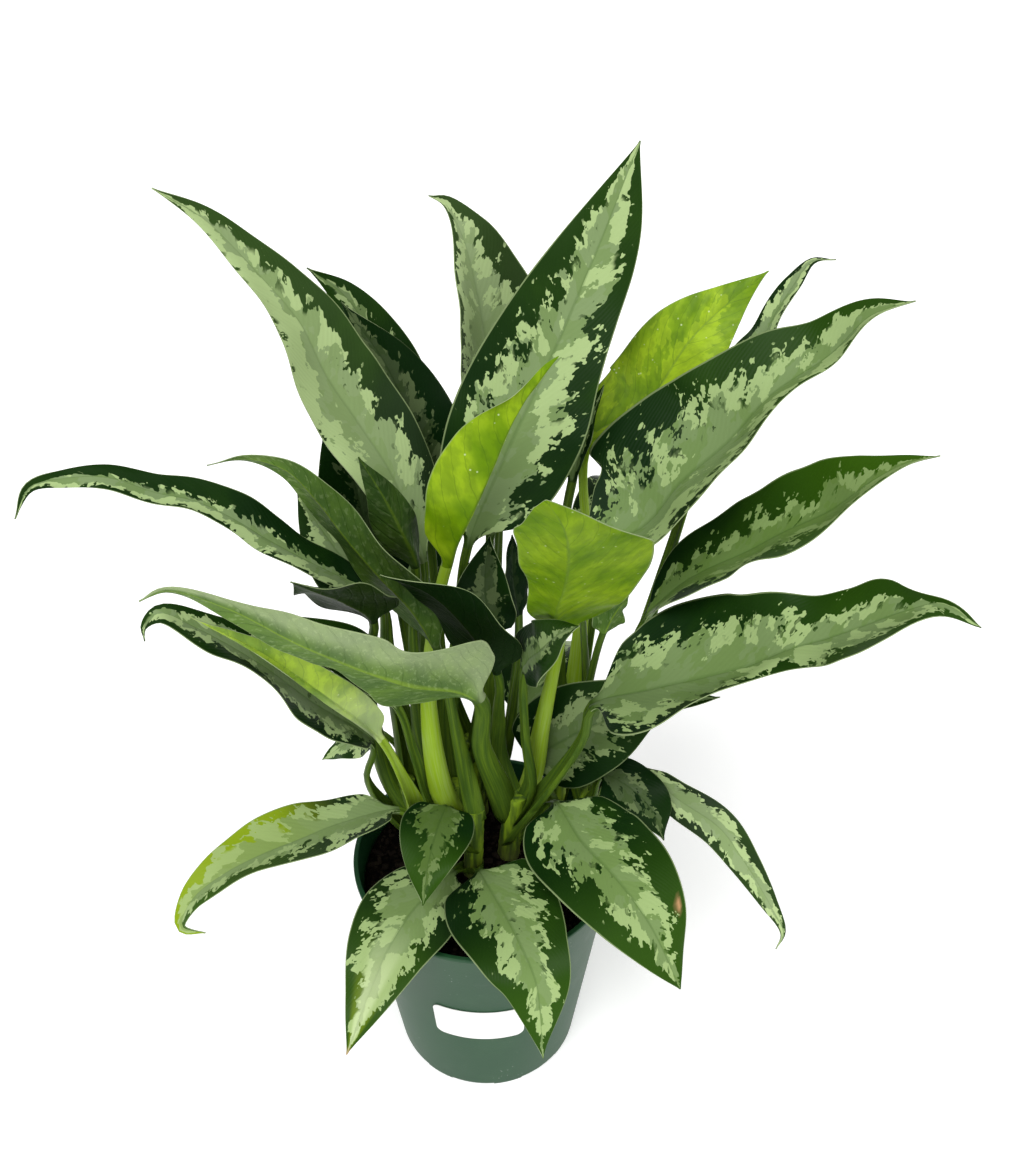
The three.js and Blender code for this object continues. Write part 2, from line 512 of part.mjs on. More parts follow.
function halfWidth(leaf, v) {
  const base = leaf.base ?? SHAPE_BASE;
  const tip = leaf.tip ?? SHAPE_TIP;
  const peak = base / (base + tip);
  const top = peak ** base * (1 - peak) ** tip;
  return Math.max(TIP_HALF, ((leaf.width / 2) * (v ** base * (1 - v) ** tip)) / top);
}

// The blade's middle surface across the midrib: s runs from -1 at one margin to 1 at the other.
function bladePlace(leaf, v, s) {
  const share = spread((leaf.halves ?? [1, 1])[s < 0 ? 0 : 1], v);
  const half = halfWidth(leaf, v) * share;
  const fold = THREE.MathUtils.degToRad(leaf.fold ?? 18);
  const droop = leaf.droop ?? 0.12;
  const [height, count, shift] = leaf.wave ?? [2, 2, 0];
  const ripple = Math.sin(2 * Math.PI * count * v + shift + (s > 0 ? 2 : 0));
  const ends = Math.sin(Math.PI * Math.min(1, Math.max(0, v))) ** 0.5;
  const rise = Math.sqrt(s * s + 0.03) - Math.sqrt(0.03);
  return {
    across: half * s * Math.cos(fold),
    up: half * (Math.sin(fold) * rise - droop * s * s) + height * s * s * ripple * ends,
  };
}

function leafRing(leaf, line, length) {
  const v = (length - line.baseLength) / (line.length - line.baseLength);
  const { point, tangent, normal } = line.at(length);
  const turn = spread(leaf.roll ?? 0, v);
  const up = normal.clone().applyAxisAngle(tangent, THREE.MathUtils.degToRad(turn));
  const side = tangent.clone().cross(up);
  const place = (across, height) => point.clone().addScaledVector(side, across).addScaledVector(up, height);

  const stalkShare = Math.min(1, length / line.baseLength);
  const foot = leaf.foot ?? STALK_FOOT;
  const neck = leaf.neck ?? STALK_NECK;
  const radius = THREE.MathUtils.lerp(foot, neck, smooth(0, 0.8, stalkShare));
  const blade = smooth(0, NECK_SHARE, v);
  const ring = [];
  for (const face of [1, -1]) {
    const order = face > 0 ? [0, 1, 2, 3, 4] : [4, 3, 2, 1, 0];
    for (const k of order) {
      const angle = THREE.MathUtils.degToRad(STALK_ANGLES[k]) * face;
      const round = [radius * Math.cos(angle), radius * Math.sin(angle) * (face > 0 ? 0.6 : 1)];
      let flat = round;
      if (v > 0) {
        const s = ACROSS[k];
        const here = bladePlace(leaf, v, s);
        const near = bladePlace(leaf, v, s - 0.1);
        const far = bladePlace(leaf, v, s + 0.1);
        const slope = Math.atan2(far.up - near.up, far.across - near.across);
        const keel = face < 0 && s === 0 ? KEEL_DEPTH * (1 - v) ** 1.3 : 0;
        const out = face * (BLADE_THICK / 2 + keel);
        flat = [here.across - Math.sin(slope) * out, here.up + Math.cos(slope) * out];
      }
      ring.push(place(
        THREE.MathUtils.lerp(round[0], flat[0], blade),
        THREE.MathUtils.lerp(round[1], flat[1], blade),
      ));
    }
  }
  return ring;
}

function leafGeometry(leaf) {
  const line = leafLine(leaf);
  const bladeRings = leaf.rings ?? BLADE_RINGS;
  const stalkRings = Math.max(2, Math.round(line.baseLength / STALK_STEP));
  const rings = [];
  for (let i = 0; i < stalkRings; i += 1) {
    rings.push(leafRing(leaf, line, (line.baseLength * i) / stalkRings));
  }
  for (let i = 0; i <= bladeRings; i += 1) {
    const v = i / bladeRings;
    rings.push(leafRing(leaf, line, THREE.MathUtils.lerp(line.baseLength, line.length, v)));
  }
  return ringBody(rings, (k) => k < ACROSS.length - 1);
}

// The stalk's foot is cut to sit on its cane, with the gap that touching pieces keep.
function leafMesh(leaf, caneRoom) {
  const whole = toSolid(leafGeometry(leaf)).subtract(caneRoom);
  const pieces = whole.decompose().sort((a, b) => b.volume() - a.volume());
  return named(leaf.name, toGeometry(pieces[0]), leaf.young ? LEAF_YOUNG : LEAF_MATURE);
}

const plant = new THREE.Group();
plant.add(pot());
plant.add(label());

const room = {};
for (const [name, cane] of Object.entries(CANES)) {
  plant.add(named(name, caneGeometry(cane, 0), CANE_GREEN));
  room[name] = toSolid(caneGeometry(cane, GAP));
}
plant.add(soil(Object.values(room)));
for (const leaf of LEAVES) {
  plant.add(leafMesh(leaf, room[leaf.cane]));
}

export default plant;
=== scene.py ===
"""Looks of a potted Chinese evergreen: nursery pot, blank label, potting mix, canes and variegated leaves.

Run as a script. Lengths are in metres. Those in names that end in _MM and in the tables of canes and leaves
are in millimetres.
"""

import math
import random
from bisect import bisect_left
from dataclasses import dataclass

import bpy
from mathutils import Matrix, Quaternion, Vector, noise


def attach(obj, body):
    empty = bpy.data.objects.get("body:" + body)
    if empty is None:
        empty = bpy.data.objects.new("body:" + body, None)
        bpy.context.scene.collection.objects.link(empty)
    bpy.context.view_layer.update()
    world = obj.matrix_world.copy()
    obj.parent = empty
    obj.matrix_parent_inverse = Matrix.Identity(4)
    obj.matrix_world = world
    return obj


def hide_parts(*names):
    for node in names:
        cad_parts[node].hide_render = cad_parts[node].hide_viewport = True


bl_info = {
    "name": "Potted Chinese evergreen",
    "version": (1, 0, 0),
    "blender": (4, 5, 0),
    "location": "View3D > Sidebar > Evergreen",
    "description": "Builds a Chinese evergreen in a nursery pot round its packed solids",
    "category": "Add Mesh",
}

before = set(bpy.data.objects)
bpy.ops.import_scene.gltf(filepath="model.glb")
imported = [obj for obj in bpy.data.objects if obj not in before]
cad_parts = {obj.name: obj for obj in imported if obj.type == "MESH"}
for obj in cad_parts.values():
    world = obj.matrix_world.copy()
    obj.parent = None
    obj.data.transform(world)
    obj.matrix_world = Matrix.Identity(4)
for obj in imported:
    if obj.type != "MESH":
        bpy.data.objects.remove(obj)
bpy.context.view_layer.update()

MM = 0.001

# Room that touching pieces keep between them.
GAP = 0.0003

# Pot, as in the solids: a tapered wall, a band under the rim, a lip and foot notches.
POT_SIDES = 128
POT_FLOOR = 0.0035
POT_SOFTEN = 0.0003
FOOT_ROUND = 0.001
RIM_LIP = 0.0012
RIM_HEIGHT = 0.0024
RIM_ROUND = 0.0004
BAND_BOTTOM = 0.133
BAND_STEP = 0.0008
BAND_PROUD = 0.0008
BAND_END = 0.003
NOTCHES = 8
NOTCH_WIDTH = 0.028
NOTCH_HEIGHT = 0.002
NOTCH_DEPTH = 0.012
FIRST_NOTCH = -98.6

# Potting mix: a low mound that ends a little inside the wall. Every ninth crumb is a bark chip. Widths and
# thicknesses of crumbs and chips are shares of their lengths.
SOIL_SIDES = 96
SOIL_STEPS = 26
SOIL_CLEAR = 0.0005
SOIL_SHOULDER = 0.003
SOIL_ROUND = 0.002
LUMPS_PER_METRE = 110
CRUMB_SEED = 7
CRUMB_REACH = 0.98
CRUMB_TILT = 0.4
CRUMB_SIZES = (0.0008, 0.0032)
CRUMB_SHRINK = (0.4, 1)
CRUMB_WIDTHS = (0.6, 1)
CRUMB_THICKNESS = 0.6
CHIP_EVERY = 9
CHIP_LENGTHS = (0.004, 0.010)
CHIP_WIDTHS = (0.25, 0.5)
CHIP_THICKNESS = 0.18

# Label: a thin blank patch on the wall, between two bearings in degrees.
LABEL_BOTTOM = 0.067
LABEL_TOP = 0.100
LABEL_FROM = -115.5
LABEL_TO = -69.5
LABEL_CORNER = 0.005
LABEL_COLUMNS = 40

# Canes: they taper towards the top and swell at evenly spaced scars of old leaves.
CANE_SIDES = 24
CANE_TAPER = 0.15
CANE_TOP_RING = 0.4
SCARS_FROM_MM = 150
SCAR_SPACING_MM = 9
SCAR_SWELL = 0.05

# Leaves: how finely they are divided, along and across.
SAMPLES = 24
COLUMNS = 14
MARGIN_COLUMN = 0.975
RING_STEP_MM = 2.4
STALK_STEP_MM = 7.0

# Outline of a blade, where its facing is given and how it begins and ends.
SHAPE_BASE = 0.62
SHAPE_TIP = 1.2
MIDDLE = 0.45
NECK_SHARE = 0.12
TIP_HALF_MM = 0.35

# Relief of a blade: its fold's roundness, the groove above and the keel below its midrib, and its ripples.
FOLD_ROUND = 0.03
GROOVE_HALF_MM = 1.5
GROOVE_DEPTH = 0.3375
GROOVE_SPREAD = 0.6
KEEL_DEPTH_MM = 2.2
KEEL_HALF_MM = 2.6
RIPPLE_LENGTHS_MM = (5.1, 8.3)

# Side veins and the grain of the patches between them. Each leaf, each half and each layer takes its
# patches from another place in the noise.
VEIN_SPACING_MM = 14.0
VEIN_LEAN = 1.3
VEIN_CURVE = 0.9
VEIN_STRAY = 0.02
GRAIN_LEAN = math.radians(33)
GRAIN_STRETCH = 1.9
LEAF_SHIFT = 3.17
HALF_SHIFT = 3.7
LAYER_SHIFT = 9

# Stalks: radii at both ends, the channel above, and the open sheath towards the foot.
STALK_FOOT_MM = 4.0
STALK_NECK_MM = 2.6
CHANNEL_DEPTH = 0.35
CHANNEL_HALF = 0.5
STALK_FLATNESS = 0.6
SHEATH_END = 0.95
SHEATH_SPREAD = 0.75
SHEATH_RISE = 0.9
SHEATH_HOLLOW = 0.8

# Slots of a leaf's own materials.
UPPER, UNDER, STALK, MARGIN = range(4)

# Where the pale line along the margins begins and ends, as shares of the way out from the midrib.
MARGIN_LINE = (0.972, 0.985)

# Colours that mix into others: painted shade and painted light on leaves, dead spots, dust on the pot and on
# leaves, and the darker brown towards the canes' feet.
SHADED = (0.002, 0.013, 0.002)
SUNLIT = (0.72, 0.82, 0.50)
SCORCHED = (0.45, 0.25, 0.12)
POT_DUST = (0.42, 0.46, 0.42)
LEAF_DUST = (0.80, 0.90, 0.55)
CANE_FOOT_DARK = (0.055, 0.050, 0.020)

# Stage: the suns' turns in degrees, their shares of the key light and their widths in degrees.
SUNS = (
    ((34, 0, -24), 1.0, 35),
    ((50, 0, 60), 0.35, 60),
)
FLOOR_SIZE = 30
FLOOR_GLOW = 0.3

# Canes in millimetres: radius and path from the root in the mix to the top.
CANES = {
    "cane_front": (7.5, [(15, 10, 96), (15, 10, 150), (20, 5, 206)]),
    "cane_left": (7, [(-20, 16, 96), (-20, 15, 150), (-17, 10, 212)]),
    "cane_far_left": (6, [(-40, 14, 96), (-42, 14, 150), (-47, 12, 212)]),
    "cane_middle": (6.5, [(-7, -6, 96), (-7, -6, 150), (-5, -4, 204)]),
    "cane_right": (7, [(42, 42, 96), (44, 43, 150), (50, 46, 214)]),
    "cane_far_right": (6.5, [(59, 20, 96), (60, 20, 150), (67, 24, 205)]),
    "cane_back": (7, [(-4, 46, 96), (-5, 46, 150), (-8, 48, 212)]),
    "cane_back_left": (6.5, [(-33, 42, 96), (-34, 42, 150), (-40, 43, 208)]),
}


@dataclass(frozen=True)
class Leaf:
    """One leaf's line, outline and look, in millimetres and degrees."""

    name: str
    width: float
    stalk: list
    rib: list
    facing: tuple
    look: tuple
    fold: float = 18
    droop: float = 0.12
    roll: float | tuple = 0
    wave: tuple = (2, 2, 0)
    halves: tuple = (1, 1)
    base: float = SHAPE_BASE
    tip: float = SHAPE_TIP
    foot: float = STALK_FOOT_MM
    neck: float = STALK_NECK_MM
    young: bool = False


# Leaves in millimetres. The stalk starts inside its cane, the rib is the blade's midrib from base to tip,
# and the upper face looks towards facing. Both halves fold up from the midrib and droop at the margins, and
# the blade rolls about it. wave is the height, the number and the shift of the waves along the margins.
# halves scales the left and right half. The values of a tuple in it or in roll run evenly from base to tip.
# look holds the pale centre's share of the blade, or of its left and right half, the centre's greenness
# and the leaf's painted light: painted shade below zero, painted light above it.
LEAVES = [
    Leaf("leaf_tall", width=78, fold=20, tip=1.1, halves=(1, (1, 1, 0.97, 0.9, 0.78, 0.82, 1.02, 1.22, 1.2)),
         stalk=[(-17, 11, 208), (-20, 20, 255), (-13, 25, 320)],
         rib=[(-7, 30, 369), (15, 48, 419), (39, 70, 465), (62, 92, 515), (80, 105, 560)],
         facing=(0.1, -0.8, 0.5), look=(0.93, 0.2, 0.08)),
    Leaf("leaf_tall_left", width=80, fold=32, droop=0.05, roll=46,
         halves=((1, 1, 1, 1, 1.05, 1.2, 1.15, 0.6, 0.5), (1, 1, 1, 1, 1.1, 1.15, 1.2, 1.2, 1)),
         stalk=[(-7, 48, 206), (2, 55, 260), (8, 68, 320)],
         rib=[(10, 78, 383), (6, 93, 423), (2, 101, 461), (-3, 104, 490), (-9, 105, 513), (-17, 105, 529),
              (-25, 102, 534)], facing=(0, -0.95, 0.3), look=((1.3, 0.95), 0.25, 0.26)),
    Leaf("leaf_upper_left", width=58, fold=28, roll=30,
         halves=((1, 1, 1, 1, 1, 1, 0.93, 0.76, 0.72, 0.8, 1), 1),
         stalk=[(-22, 18, 180), (-33, 23, 230), (-34, 24, 320)],
         rib=[(-30, 24, 364), (-44, 34, 409), (-60, 40, 437), (-75, 43, 463), (-86, 45, 491), (-103, 44, 516),
              (-123, 38, 544), (-141, 30, 560)], facing=(0.2, -0.9, 0.4), look=((1.75, 0.85), 0.35, 0.2)),
    Leaf("leaf_back_left_high", width=46, roll=20, stalk=[(-9, 49, 196), (-24, 60, 240), (-38, 66, 320)],
         rib=[(-43, 76, 383), (-48, 88, 426), (-58, 95, 460), (-71, 98, 483), (-89, 96, 499)],
         facing=(0.15, -0.93, 0.35), look=(0.6, 0.2, -0.35)),
    Leaf("leaf_back_left_low", width=58, stalk=[(-7, 48, 172), (-22, 40, 210), (-26, 48, 300)],
         rib=[(-29, 56, 357), (-36, 70, 412), (-48, 80, 448), (-71, 85, 485)], facing=(0.15, -0.93, 0.35),
         look=(0.75, 0.1, -0.7)),
    Leaf("leaf_shaded_left", width=50, stalk=[(-37, 43, 184), (-36, 32, 225), (-43, 34, 300)],
         rib=[(-48, 37, 335), (-60, 42, 365), (-67, 48, 399), (-71, 52, 430), (-72, 56, 455)],
         facing=(0.15, -0.9, 0.4), look=(0.5, 0.3, -0.75)),
    Leaf("leaf_young_upright", width=62, foot=4.6, neck=3.4, fold=45, young=True,
         halves=(0.15, (0.85, 0.85, 0.92, 1, 1, 1, 1, 0.88, 0.6, 0.5, 1)),
         stalk=[(-17, 10, 186), (-24, -2, 222), (-29, 2, 300)],
         rib=[(-17, 6, 375), (-3, 8, 408), (7, 12, 430), (16, 17, 450), (26, 20, 467), (39, 22, 484)],
         facing=(-0.7, 0.7, 0), look=(0.6, 0.25, 0.05)),
    Leaf("leaf_folded", width=34, fold=48, stalk=[(-20, 13, 190), (-33, 10, 236), (-37, 12, 320)],
         rib=[(-33, 5, 375), (-38, -1, 399), (-45, -3, 420), (-56, -3, 444)], facing=(-0.5, 0.8, 0.2),
         look=(0.6, 0.4, -0.6)),
    Leaf("leaf_young_right", width=60, young=True, roll=-10,
         stalk=[(49, 46, 184), (56, 60, 240), (60, 66, 340)],
         rib=[(60, 80, 407), (90, 90, 423), (113, 98, 458), (133, 106, 476), (153, 110, 492)],
         facing=(-0.15, -0.85, 0.5), look=(1.0, 0.4, 0.08)),
    Leaf("leaf_slender_back", width=18, fold=36, stalk=[(66, 23, 186), (84, 42, 245), (112, 62, 370)],
         rib=[(131, 78, 447), (148, 84, 465), (155, 88, 479), (163, 92, 492), (171, 94, 503), (183, 94, 504)],
         facing=(-0.6, -0.6, 0.5), look=(1.1, 0.0, 0.05)),
    Leaf("leaf_upper_right", width=88, fold=34, droop=0.05, roll=-48,
         halves=((1, 1.12, 1.34, 1.3, 1.25, 1.12, 1.2, 1.4, 1.1), (1, 1, 1, 1.05, 0.95, 0.6, 0.65, 1, 1)),
         stalk=[(48, 45, 184), (61, 39, 228), (57, 36, 310)],
         rib=[(51, 22, 367), (87, 28, 385), (105, 36, 406), (129, 44, 426), (149, 52, 448), (178, 58, 468),
              (195, 58, 489), (213, 52, 499)], facing=(-0.25, -0.87, 0.42), look=((0.9, 1.25), 0.38, -0.1)),
    Leaf("leaf_mid_right", width=60, fold=34, droop=0.05, roll=-50,
         halves=((0.5, 0.55, 0.75, 0.93, 1.08, 1.1, 1.28, 1.5, 1.4, 1.16, 1),
              (0.8, 0.95, 1.15, 1.2, 1.35, 1.55, 1.95, 2.1, 1.9, 1.3, 1)),
         stalk=[(67, 24, 198), (69, 18, 236), (78, 22, 275)],
         rib=[(90, 26, 322), (106, 24, 347), (120, 22, 360), (140, 19, 374), (157, 14, 390), (176, 6, 408),
              (190, -2, 429), (202, -10, 444), (214, -18, 453)], facing=(-0.3, -0.8, 0.52),
         look=((0.72, 1.0), 0.85, -0.12)),
    Leaf("leaf_wavy_right", width=76, foot=4.6, neck=3.9, fold=30, droop=0.05, roll=-45, wave=(5, 2.4, 0.6),
         halves=((0.9, 1.05, 1.25, 1.3, 1.15, 0.95, 0.93, 1.08, 1.2, 0.2, 0.5),
              (1.3, 1.42, 1.25, 0.9, 0.7, 0.42, 0.7, 1.45, 1.95, 1.5, 1)),
         stalk=[(15, 7, 168), (22, 0, 190), (40, -9, 232), (56, -14, 273)],
         rib=[(60, -15, 296), (90, -24, 316), (115, -30, 329), (136, -36, 342), (152, -42, 357),
              (168, -48, 369), (183, -54, 382), (197, -60, 395), (211, -66, 404), (229, -72, 395)],
         facing=(-0.25, -0.76, 0.6), look=((0.9, 1.15), 0.38, -0.06)),
    Leaf("leaf_under_right", width=64, halves=(1, (1, 1, 0.95, 0.88, 0.42, 0.5)),
         stalk=[(45, 43, 166), (34, 38, 186)],
         rib=[(28, 28, 208), (56, 12, 251), (90, 6, 274), (133, 0, 289)],
         facing=(-0.35, -0.85, 0.35), look=(0.85, 0.3, -0.4)),
    Leaf("leaf_young_center", width=76, young=True, neck=3.1, foot=3.8, tip=0.75,
         stalk=[(19, 10, 180), (29, 13, 209), (34, 9, 255), (39, 2, 301)],
         halves=((1.3, 1.2, 1, 0.95, 0.92, 0.98, 1.08, 1.2, 1.32, 0.9, 0.5),
              (0.6, 0.52, 0.46, 0.42, 0.4, 0.45, 0.54, 0.68, 0.86, 1.3, 1.8)),
         rib=[(42, -18, 350), (38, -44, 383), (40, -72, 419), (40, -92, 448), (37, -104, 471),
              (30, -106, 484)],
         facing=(0, 0.8, 0.6), look=(0.3, 0.5, -0.3)),
    Leaf("leaf_small_center", width=34, foot=3.6, neck=3.2,
         stalk=[(19, 6, 186), (28, -3, 222), (24, -4, 262)],
         rib=[(23, -14, 321), (31, -37, 353), (39, -51, 374), (48, -63, 389)], facing=(-0.2, -0.6, 0.7),
         look=(0.6, 0.4, -0.35)),
    Leaf("leaf_cupped_left", width=72, foot=4.8, neck=4.4, fold=12,
         halves=((1.6, 1.35, 1.45, 1.3, 0.7, 0.78, 0.62, 0.58, 0.6, 0.62, 1),
              (1, 0.9, 0.88, 0.5, 0.38, 0.35, 0.35, 0.38, 0.4, 0.6, 1)),
         stalk=[(14, 8, 184), (8, -3, 222), (0, -12, 262)],
         rib=[(-1, -22, 309), (-36, -50, 343), (-75, -84, 394), (-102, -100, 428), (-123, -106, 441),
              (-134, -108, 437)], facing=(-0.2, 0.85, 0.45), look=(0.8, 0.3, 0.1)),
    Leaf("leaf_behind_cupped", width=38, halves=(0.5, 1),
         stalk=[(-19, 14, 170), (-31, -2, 208), (-39, -8, 255)],
         rib=[(-45, -14, 294), (-65, -20, 328), (-88, -36, 360), (-109, -50, 386)], facing=(0, -0.6, 0.8),
         look=(0.8, 0.3, 0.0)),
    Leaf("leaf_twisting_left", width=28, fold=24, roll=(0, 10, -15, 0), wave=(3, 2, 0),
         halves=((1, 1, 0.85, 0.65, 0.55, 0.55, 0.55, 0.8, 1, 1, 1), 1),
         stalk=[(-47, 12, 207), (-50, 21, 245), (-54, 18, 305)],
         rib=[(-54, 14, 347), (-70, 8, 364), (-88, 0, 382), (-105, -6, 399), (-118, -10, 413),
              (-134, -14, 426), (-150, -18, 433), (-169, -24, 445), (-187, -30, 448), (-200, -36, 447),
              (-208, -42, 434)], facing=(0, -0.45, 0.9), look=((1.25, 0.42), 0.1, -0.14)),
    Leaf("leaf_long_under", width=40, tip=1.5, stalk=[(-6, -5, 196), (-12, -2, 240), (-17, -6, 290)],
         rib=[(-22, -7, 328), (-34, -3, 352), (-50, -4, 375), (-66, 0, 396), (-80, 8, 413), (-95, 14, 427),
              (-116, 18, 431), (-135, 18, 427)], facing=(0, 0.8, 0.6), look=(0.8, 0.3, -0.45)),
    Leaf("leaf_silver_left", width=42, stalk=[(-39, 43, 202), (-51, 40, 245), (-53, 30, 300)],
         rib=[(-54, 22, 336), (-72, 24, 364), (-86, 28, 387), (-95, 32, 405)], facing=(0.1, -0.85, 0.5),
         look=(1.15, 0.1, 0.1)),
    Leaf("leaf_round_under", width=50, stalk=[(-46, 12, 180), (-58, 12, 213), (-64, 12, 262), (-61, 4, 315)],
         rib=[(-56, -2, 345), (-67, -20, 371), (-77, -40, 392), (-85, -52, 406)], facing=(0, 0.7, 0.7),
         look=(0.8, 0.3, -0.7)),
    Leaf("leaf_low_left", width=50, fold=28, roll=42,
         halves=((0.8, 0.9, 0.93, 0.98, 1, 0.98, 0.78, 0.86, 1.35, 1.6, 1), 1),
         stalk=[(-43, 13, 160), (-60, 9, 190), (-68, 1, 225)],
         rib=[(-62, -2, 254), (-90, -25, 309), (-108, -42, 348), (-131, -58, 384), (-144, -64, 397),
              (-151, -67, 392), (-152, -68, 384)], facing=(0.1, -0.65, 0.75), look=(0.9, 0.1, -0.14)),
    Leaf("leaf_young_low_left", width=34, fold=40, young=True, halves=(0.25, (1.03, 1, 0.9, 0.75, 0.65)),
         stalk=[(-44, 13, 176), (-42, 0, 204), (-46, -6, 230)],
         rib=[(-56, -12, 268), (-77, -37, 321), (-103, -60, 372), (-124, -82, 409)], facing=(-0.1, -0.6, 0.8),
         look=(1.1, 0.3, 0.16)),
    Leaf("leaf_small_pale", width=26, foot=3.2, neck=2, stalk=[(-35, 42, 165), (-48, 44, 192)],
         rib=[(-62, 45, 217), (-87, 55, 201), (-107, 60, 181)], facing=(0, -0.5, 0.85), look=(1.1, 0.3, 0.1)),
    Leaf("leaf_bottom_left", width=50, fold=30, droop=0.05, roll=42,
         halves=(1, (0.8, 0.75, 0.74, 0.77, 0.83, 0.92, 1, 1.03, 1, 1, 1)),
         stalk=[(-7, -5, 170), (-24, -9, 190), (-38, -10, 201)],
         rib=[(-50, -8, 207), (-81, -32, 222), (-100, -50, 229), (-119, -66, 234), (-137, -80, 234),
              (-151, -90, 227), (-156, -98, 216), (-144, -100, 213)], facing=(0.15, -0.7, 0.7),
         look=((1.0, 1.15), 0.6, 0.18)),
    Leaf("leaf_small_front", width=44, stalk=[(-20, 15, 166), (-18, 1, 190)],
         rib=[(-21, -12, 214), (-26, -36, 219), (-30, -56, 212), (-32, -74, 202)], facing=(0, -0.55, 0.83),
         look=(0.68, 1.0, -0.45)),
    Leaf("leaf_front_left", width=58, fold=14, stalk=[(-7, -6, 150), (-13, -9, 157)],
         rib=[(-18, -16, 162), (-40, -52, 171), (-52, -78, 171), (-63, -106, 161), (-73, -126, 142)],
         facing=(-0.1, -0.45, 0.9), look=((0.95, 0.9), 0.5, 0.12)),
    Leaf("leaf_front", width=66, fold=14, base=0.5, stalk=[(-7, -6, 152), (-4, -14, 162)],
         rib=[(-3, -24, 172), (13, -64, 182), (23, -88, 182), (30, -104, 175), (34, -125, 137)],
         facing=(0, -0.45, 0.9), look=((0.85, 0.65), 0.5, 0.06)),
    Leaf("leaf_front_right", width=74, fold=14, tip=1, stalk=[(16, 9, 158), (32, 13, 178)],
         rib=[(42, 2, 203), (58, -36, 209), (75, -60, 208), (92, -82, 197), (109, -103, 168)],
         facing=(0.2, -0.4, 0.9), look=((0.82, 0.7), 0.5, 0.02)),
    Leaf("leaf_behind_front_right", width=44, halves=((1, 0.8, 0.78, 0.82, 0.9, 1, 1), 1),
         stalk=[(62, 21, 174), (66, 12, 196)],
         rib=[(71, 16, 212), (88, 6, 211), (101, -4, 202), (108, -14, 187)], facing=(0.1, -0.5, 0.85),
         look=(0.55, 0.2, -0.6)),
    Leaf("leaf_slender_right", width=25, stalk=[(61, 20, 158), (78, 26, 188)],
         rib=[(92, 22, 211), (119, 8, 198), (142, -8, 191), (156, -20, 176), (170, -35, 158), (180, -45, 140),
              (176, -50, 131)], facing=(-0.4, -0.5, 0.75), look=(1.0, 0.2, 0.2)),
    Leaf("leaf_dark_center", width=44, stalk=[(17, 8, 197), (8, 17, 226), (9, 11, 265)],
         rib=[(9, -12, 318), (-5, -24, 357), (-24, -30, 384), (-46, -34, 397)], facing=(0.2, 0.8, 0.5),
         look=(0.6, 0.3, -0.88)),
    Leaf("leaf_rolled", width=44, fold=38, stalk=[(-6, 46, 180), (3, 34, 225), (4, 28, 275)],
         rib=[(5, 26, 314), (2, 28, 346), (5, 34, 374)], facing=(-0.1, -0.8, 0.5), look=(0.7, 0.2, -0.65)),
    Leaf("leaf_narrow_dark", width=20, foot=3.2, stalk=[(-5, 46, 160), (9, 45, 190), (19, 41, 270)],
         rib=[(21, 40, 316), (18, 44, 337), (17, 52, 363)], facing=(0.6, -0.7, 0.3), look=(0.4, 0.2, -0.85)),
    Leaf("leaf_small_right", width=24, foot=3.2, neck=2.2,
         stalk=[(64, 22, 174), (56, 28, 215), (62, 31, 270)],
         rib=[(69, 36, 306), (75, 38, 319), (83, 42, 328)], facing=(0, 0.8, 0.5), look=(0.8, 0.5, -0.1)),
    Leaf("leaf_behind_tall", width=22, halves=(1, 0.3), stalk=[(50, 46, 209), (44, 56, 255), (46, 60, 358)],
         rib=[(50, 62, 391), (57, 69, 416), (66, 77, 442)], facing=(0.2, -0.8, 0.5), look=(0.6, 0.2, -0.4)),
    Leaf("leaf_rear_left", width=56, stalk=[(-36, 43, 178), (-38, 66, 240)],
         rib=[(-42, 85, 285), (-52, 115, 318), (-60, 150, 325), (-68, 182, 302), (-72, 204, 272)],
         facing=(0, 0.2, 1), look=(0.9, 0.3, 0.0)),
    Leaf("leaf_rear_right", width=58, stalk=[(45, 44, 156), (56, 60, 196), (63, 74, 250)],
         rib=[(70, 88, 300), (80, 118, 328), (90, 152, 333), (98, 188, 308), (101, 208, 278)],
         facing=(0, 0.2, 1), look=(0.95, 0.3, 0.05)),
    Leaf("leaf_rear_low", width=50, stalk=[(-5, 46, 158), (6, 66, 180)],
         rib=[(18, 85, 195), (35, 120, 208), (50, 155, 202), (60, 185, 178)], facing=(0, 0.2, 1),
         look=(0.85, 0.4, 0.0)),
    Leaf("leaf_rear_high", width=54, stalk=[(-6, 47, 170), (4, 70, 225), (4, 78, 300)],
         rib=[(4, 82, 340), (10, 105, 375), (18, 140, 395), (22, 175, 385), (22, 196, 365)],
         facing=(0, 0.1, 1), look=(0.95, 0.2, 0.05)),
]


def metres(name, description, default):
    """A setting that holds a length in metres."""
    return bpy.props.FloatProperty(name=name, description=description, default=default, unit="LENGTH")


def tint(name, description, default):
    """A setting that holds a colour."""
    return bpy.props.FloatVectorProperty(name=name, description=description, default=default, subtype="COLOR")


class PotSettings(bpy.types.PropertyGroup):
    """Sizes and colours of the nursery pot and its label."""

    height: metres("Height", "From the foot to the top of the rim", 0.162)
    top_radius: metres("Top radius", "Outer radius of the wall at the rim", 0.080)
    foot_radius: metres("Foot radius", "Outer radius of the wall at the foot", 0.060)
    wall: metres("Wall", "Thickness of the plastic", 0.0018)
    label_thick: metres("Label thickness", "Thickness of the blank label", 0.0005)
    plastic: tint("Plastic", "Colour of the pot", (0.010, 0.058, 0.021))
    scuffed: tint("Scuffed plastic", "Colour of the pot where it is rubbed pale", (0.042, 0.098, 0.050))
    paper: tint("Label paper", "Colour of the blank label", (0.92, 0.92, 0.90))


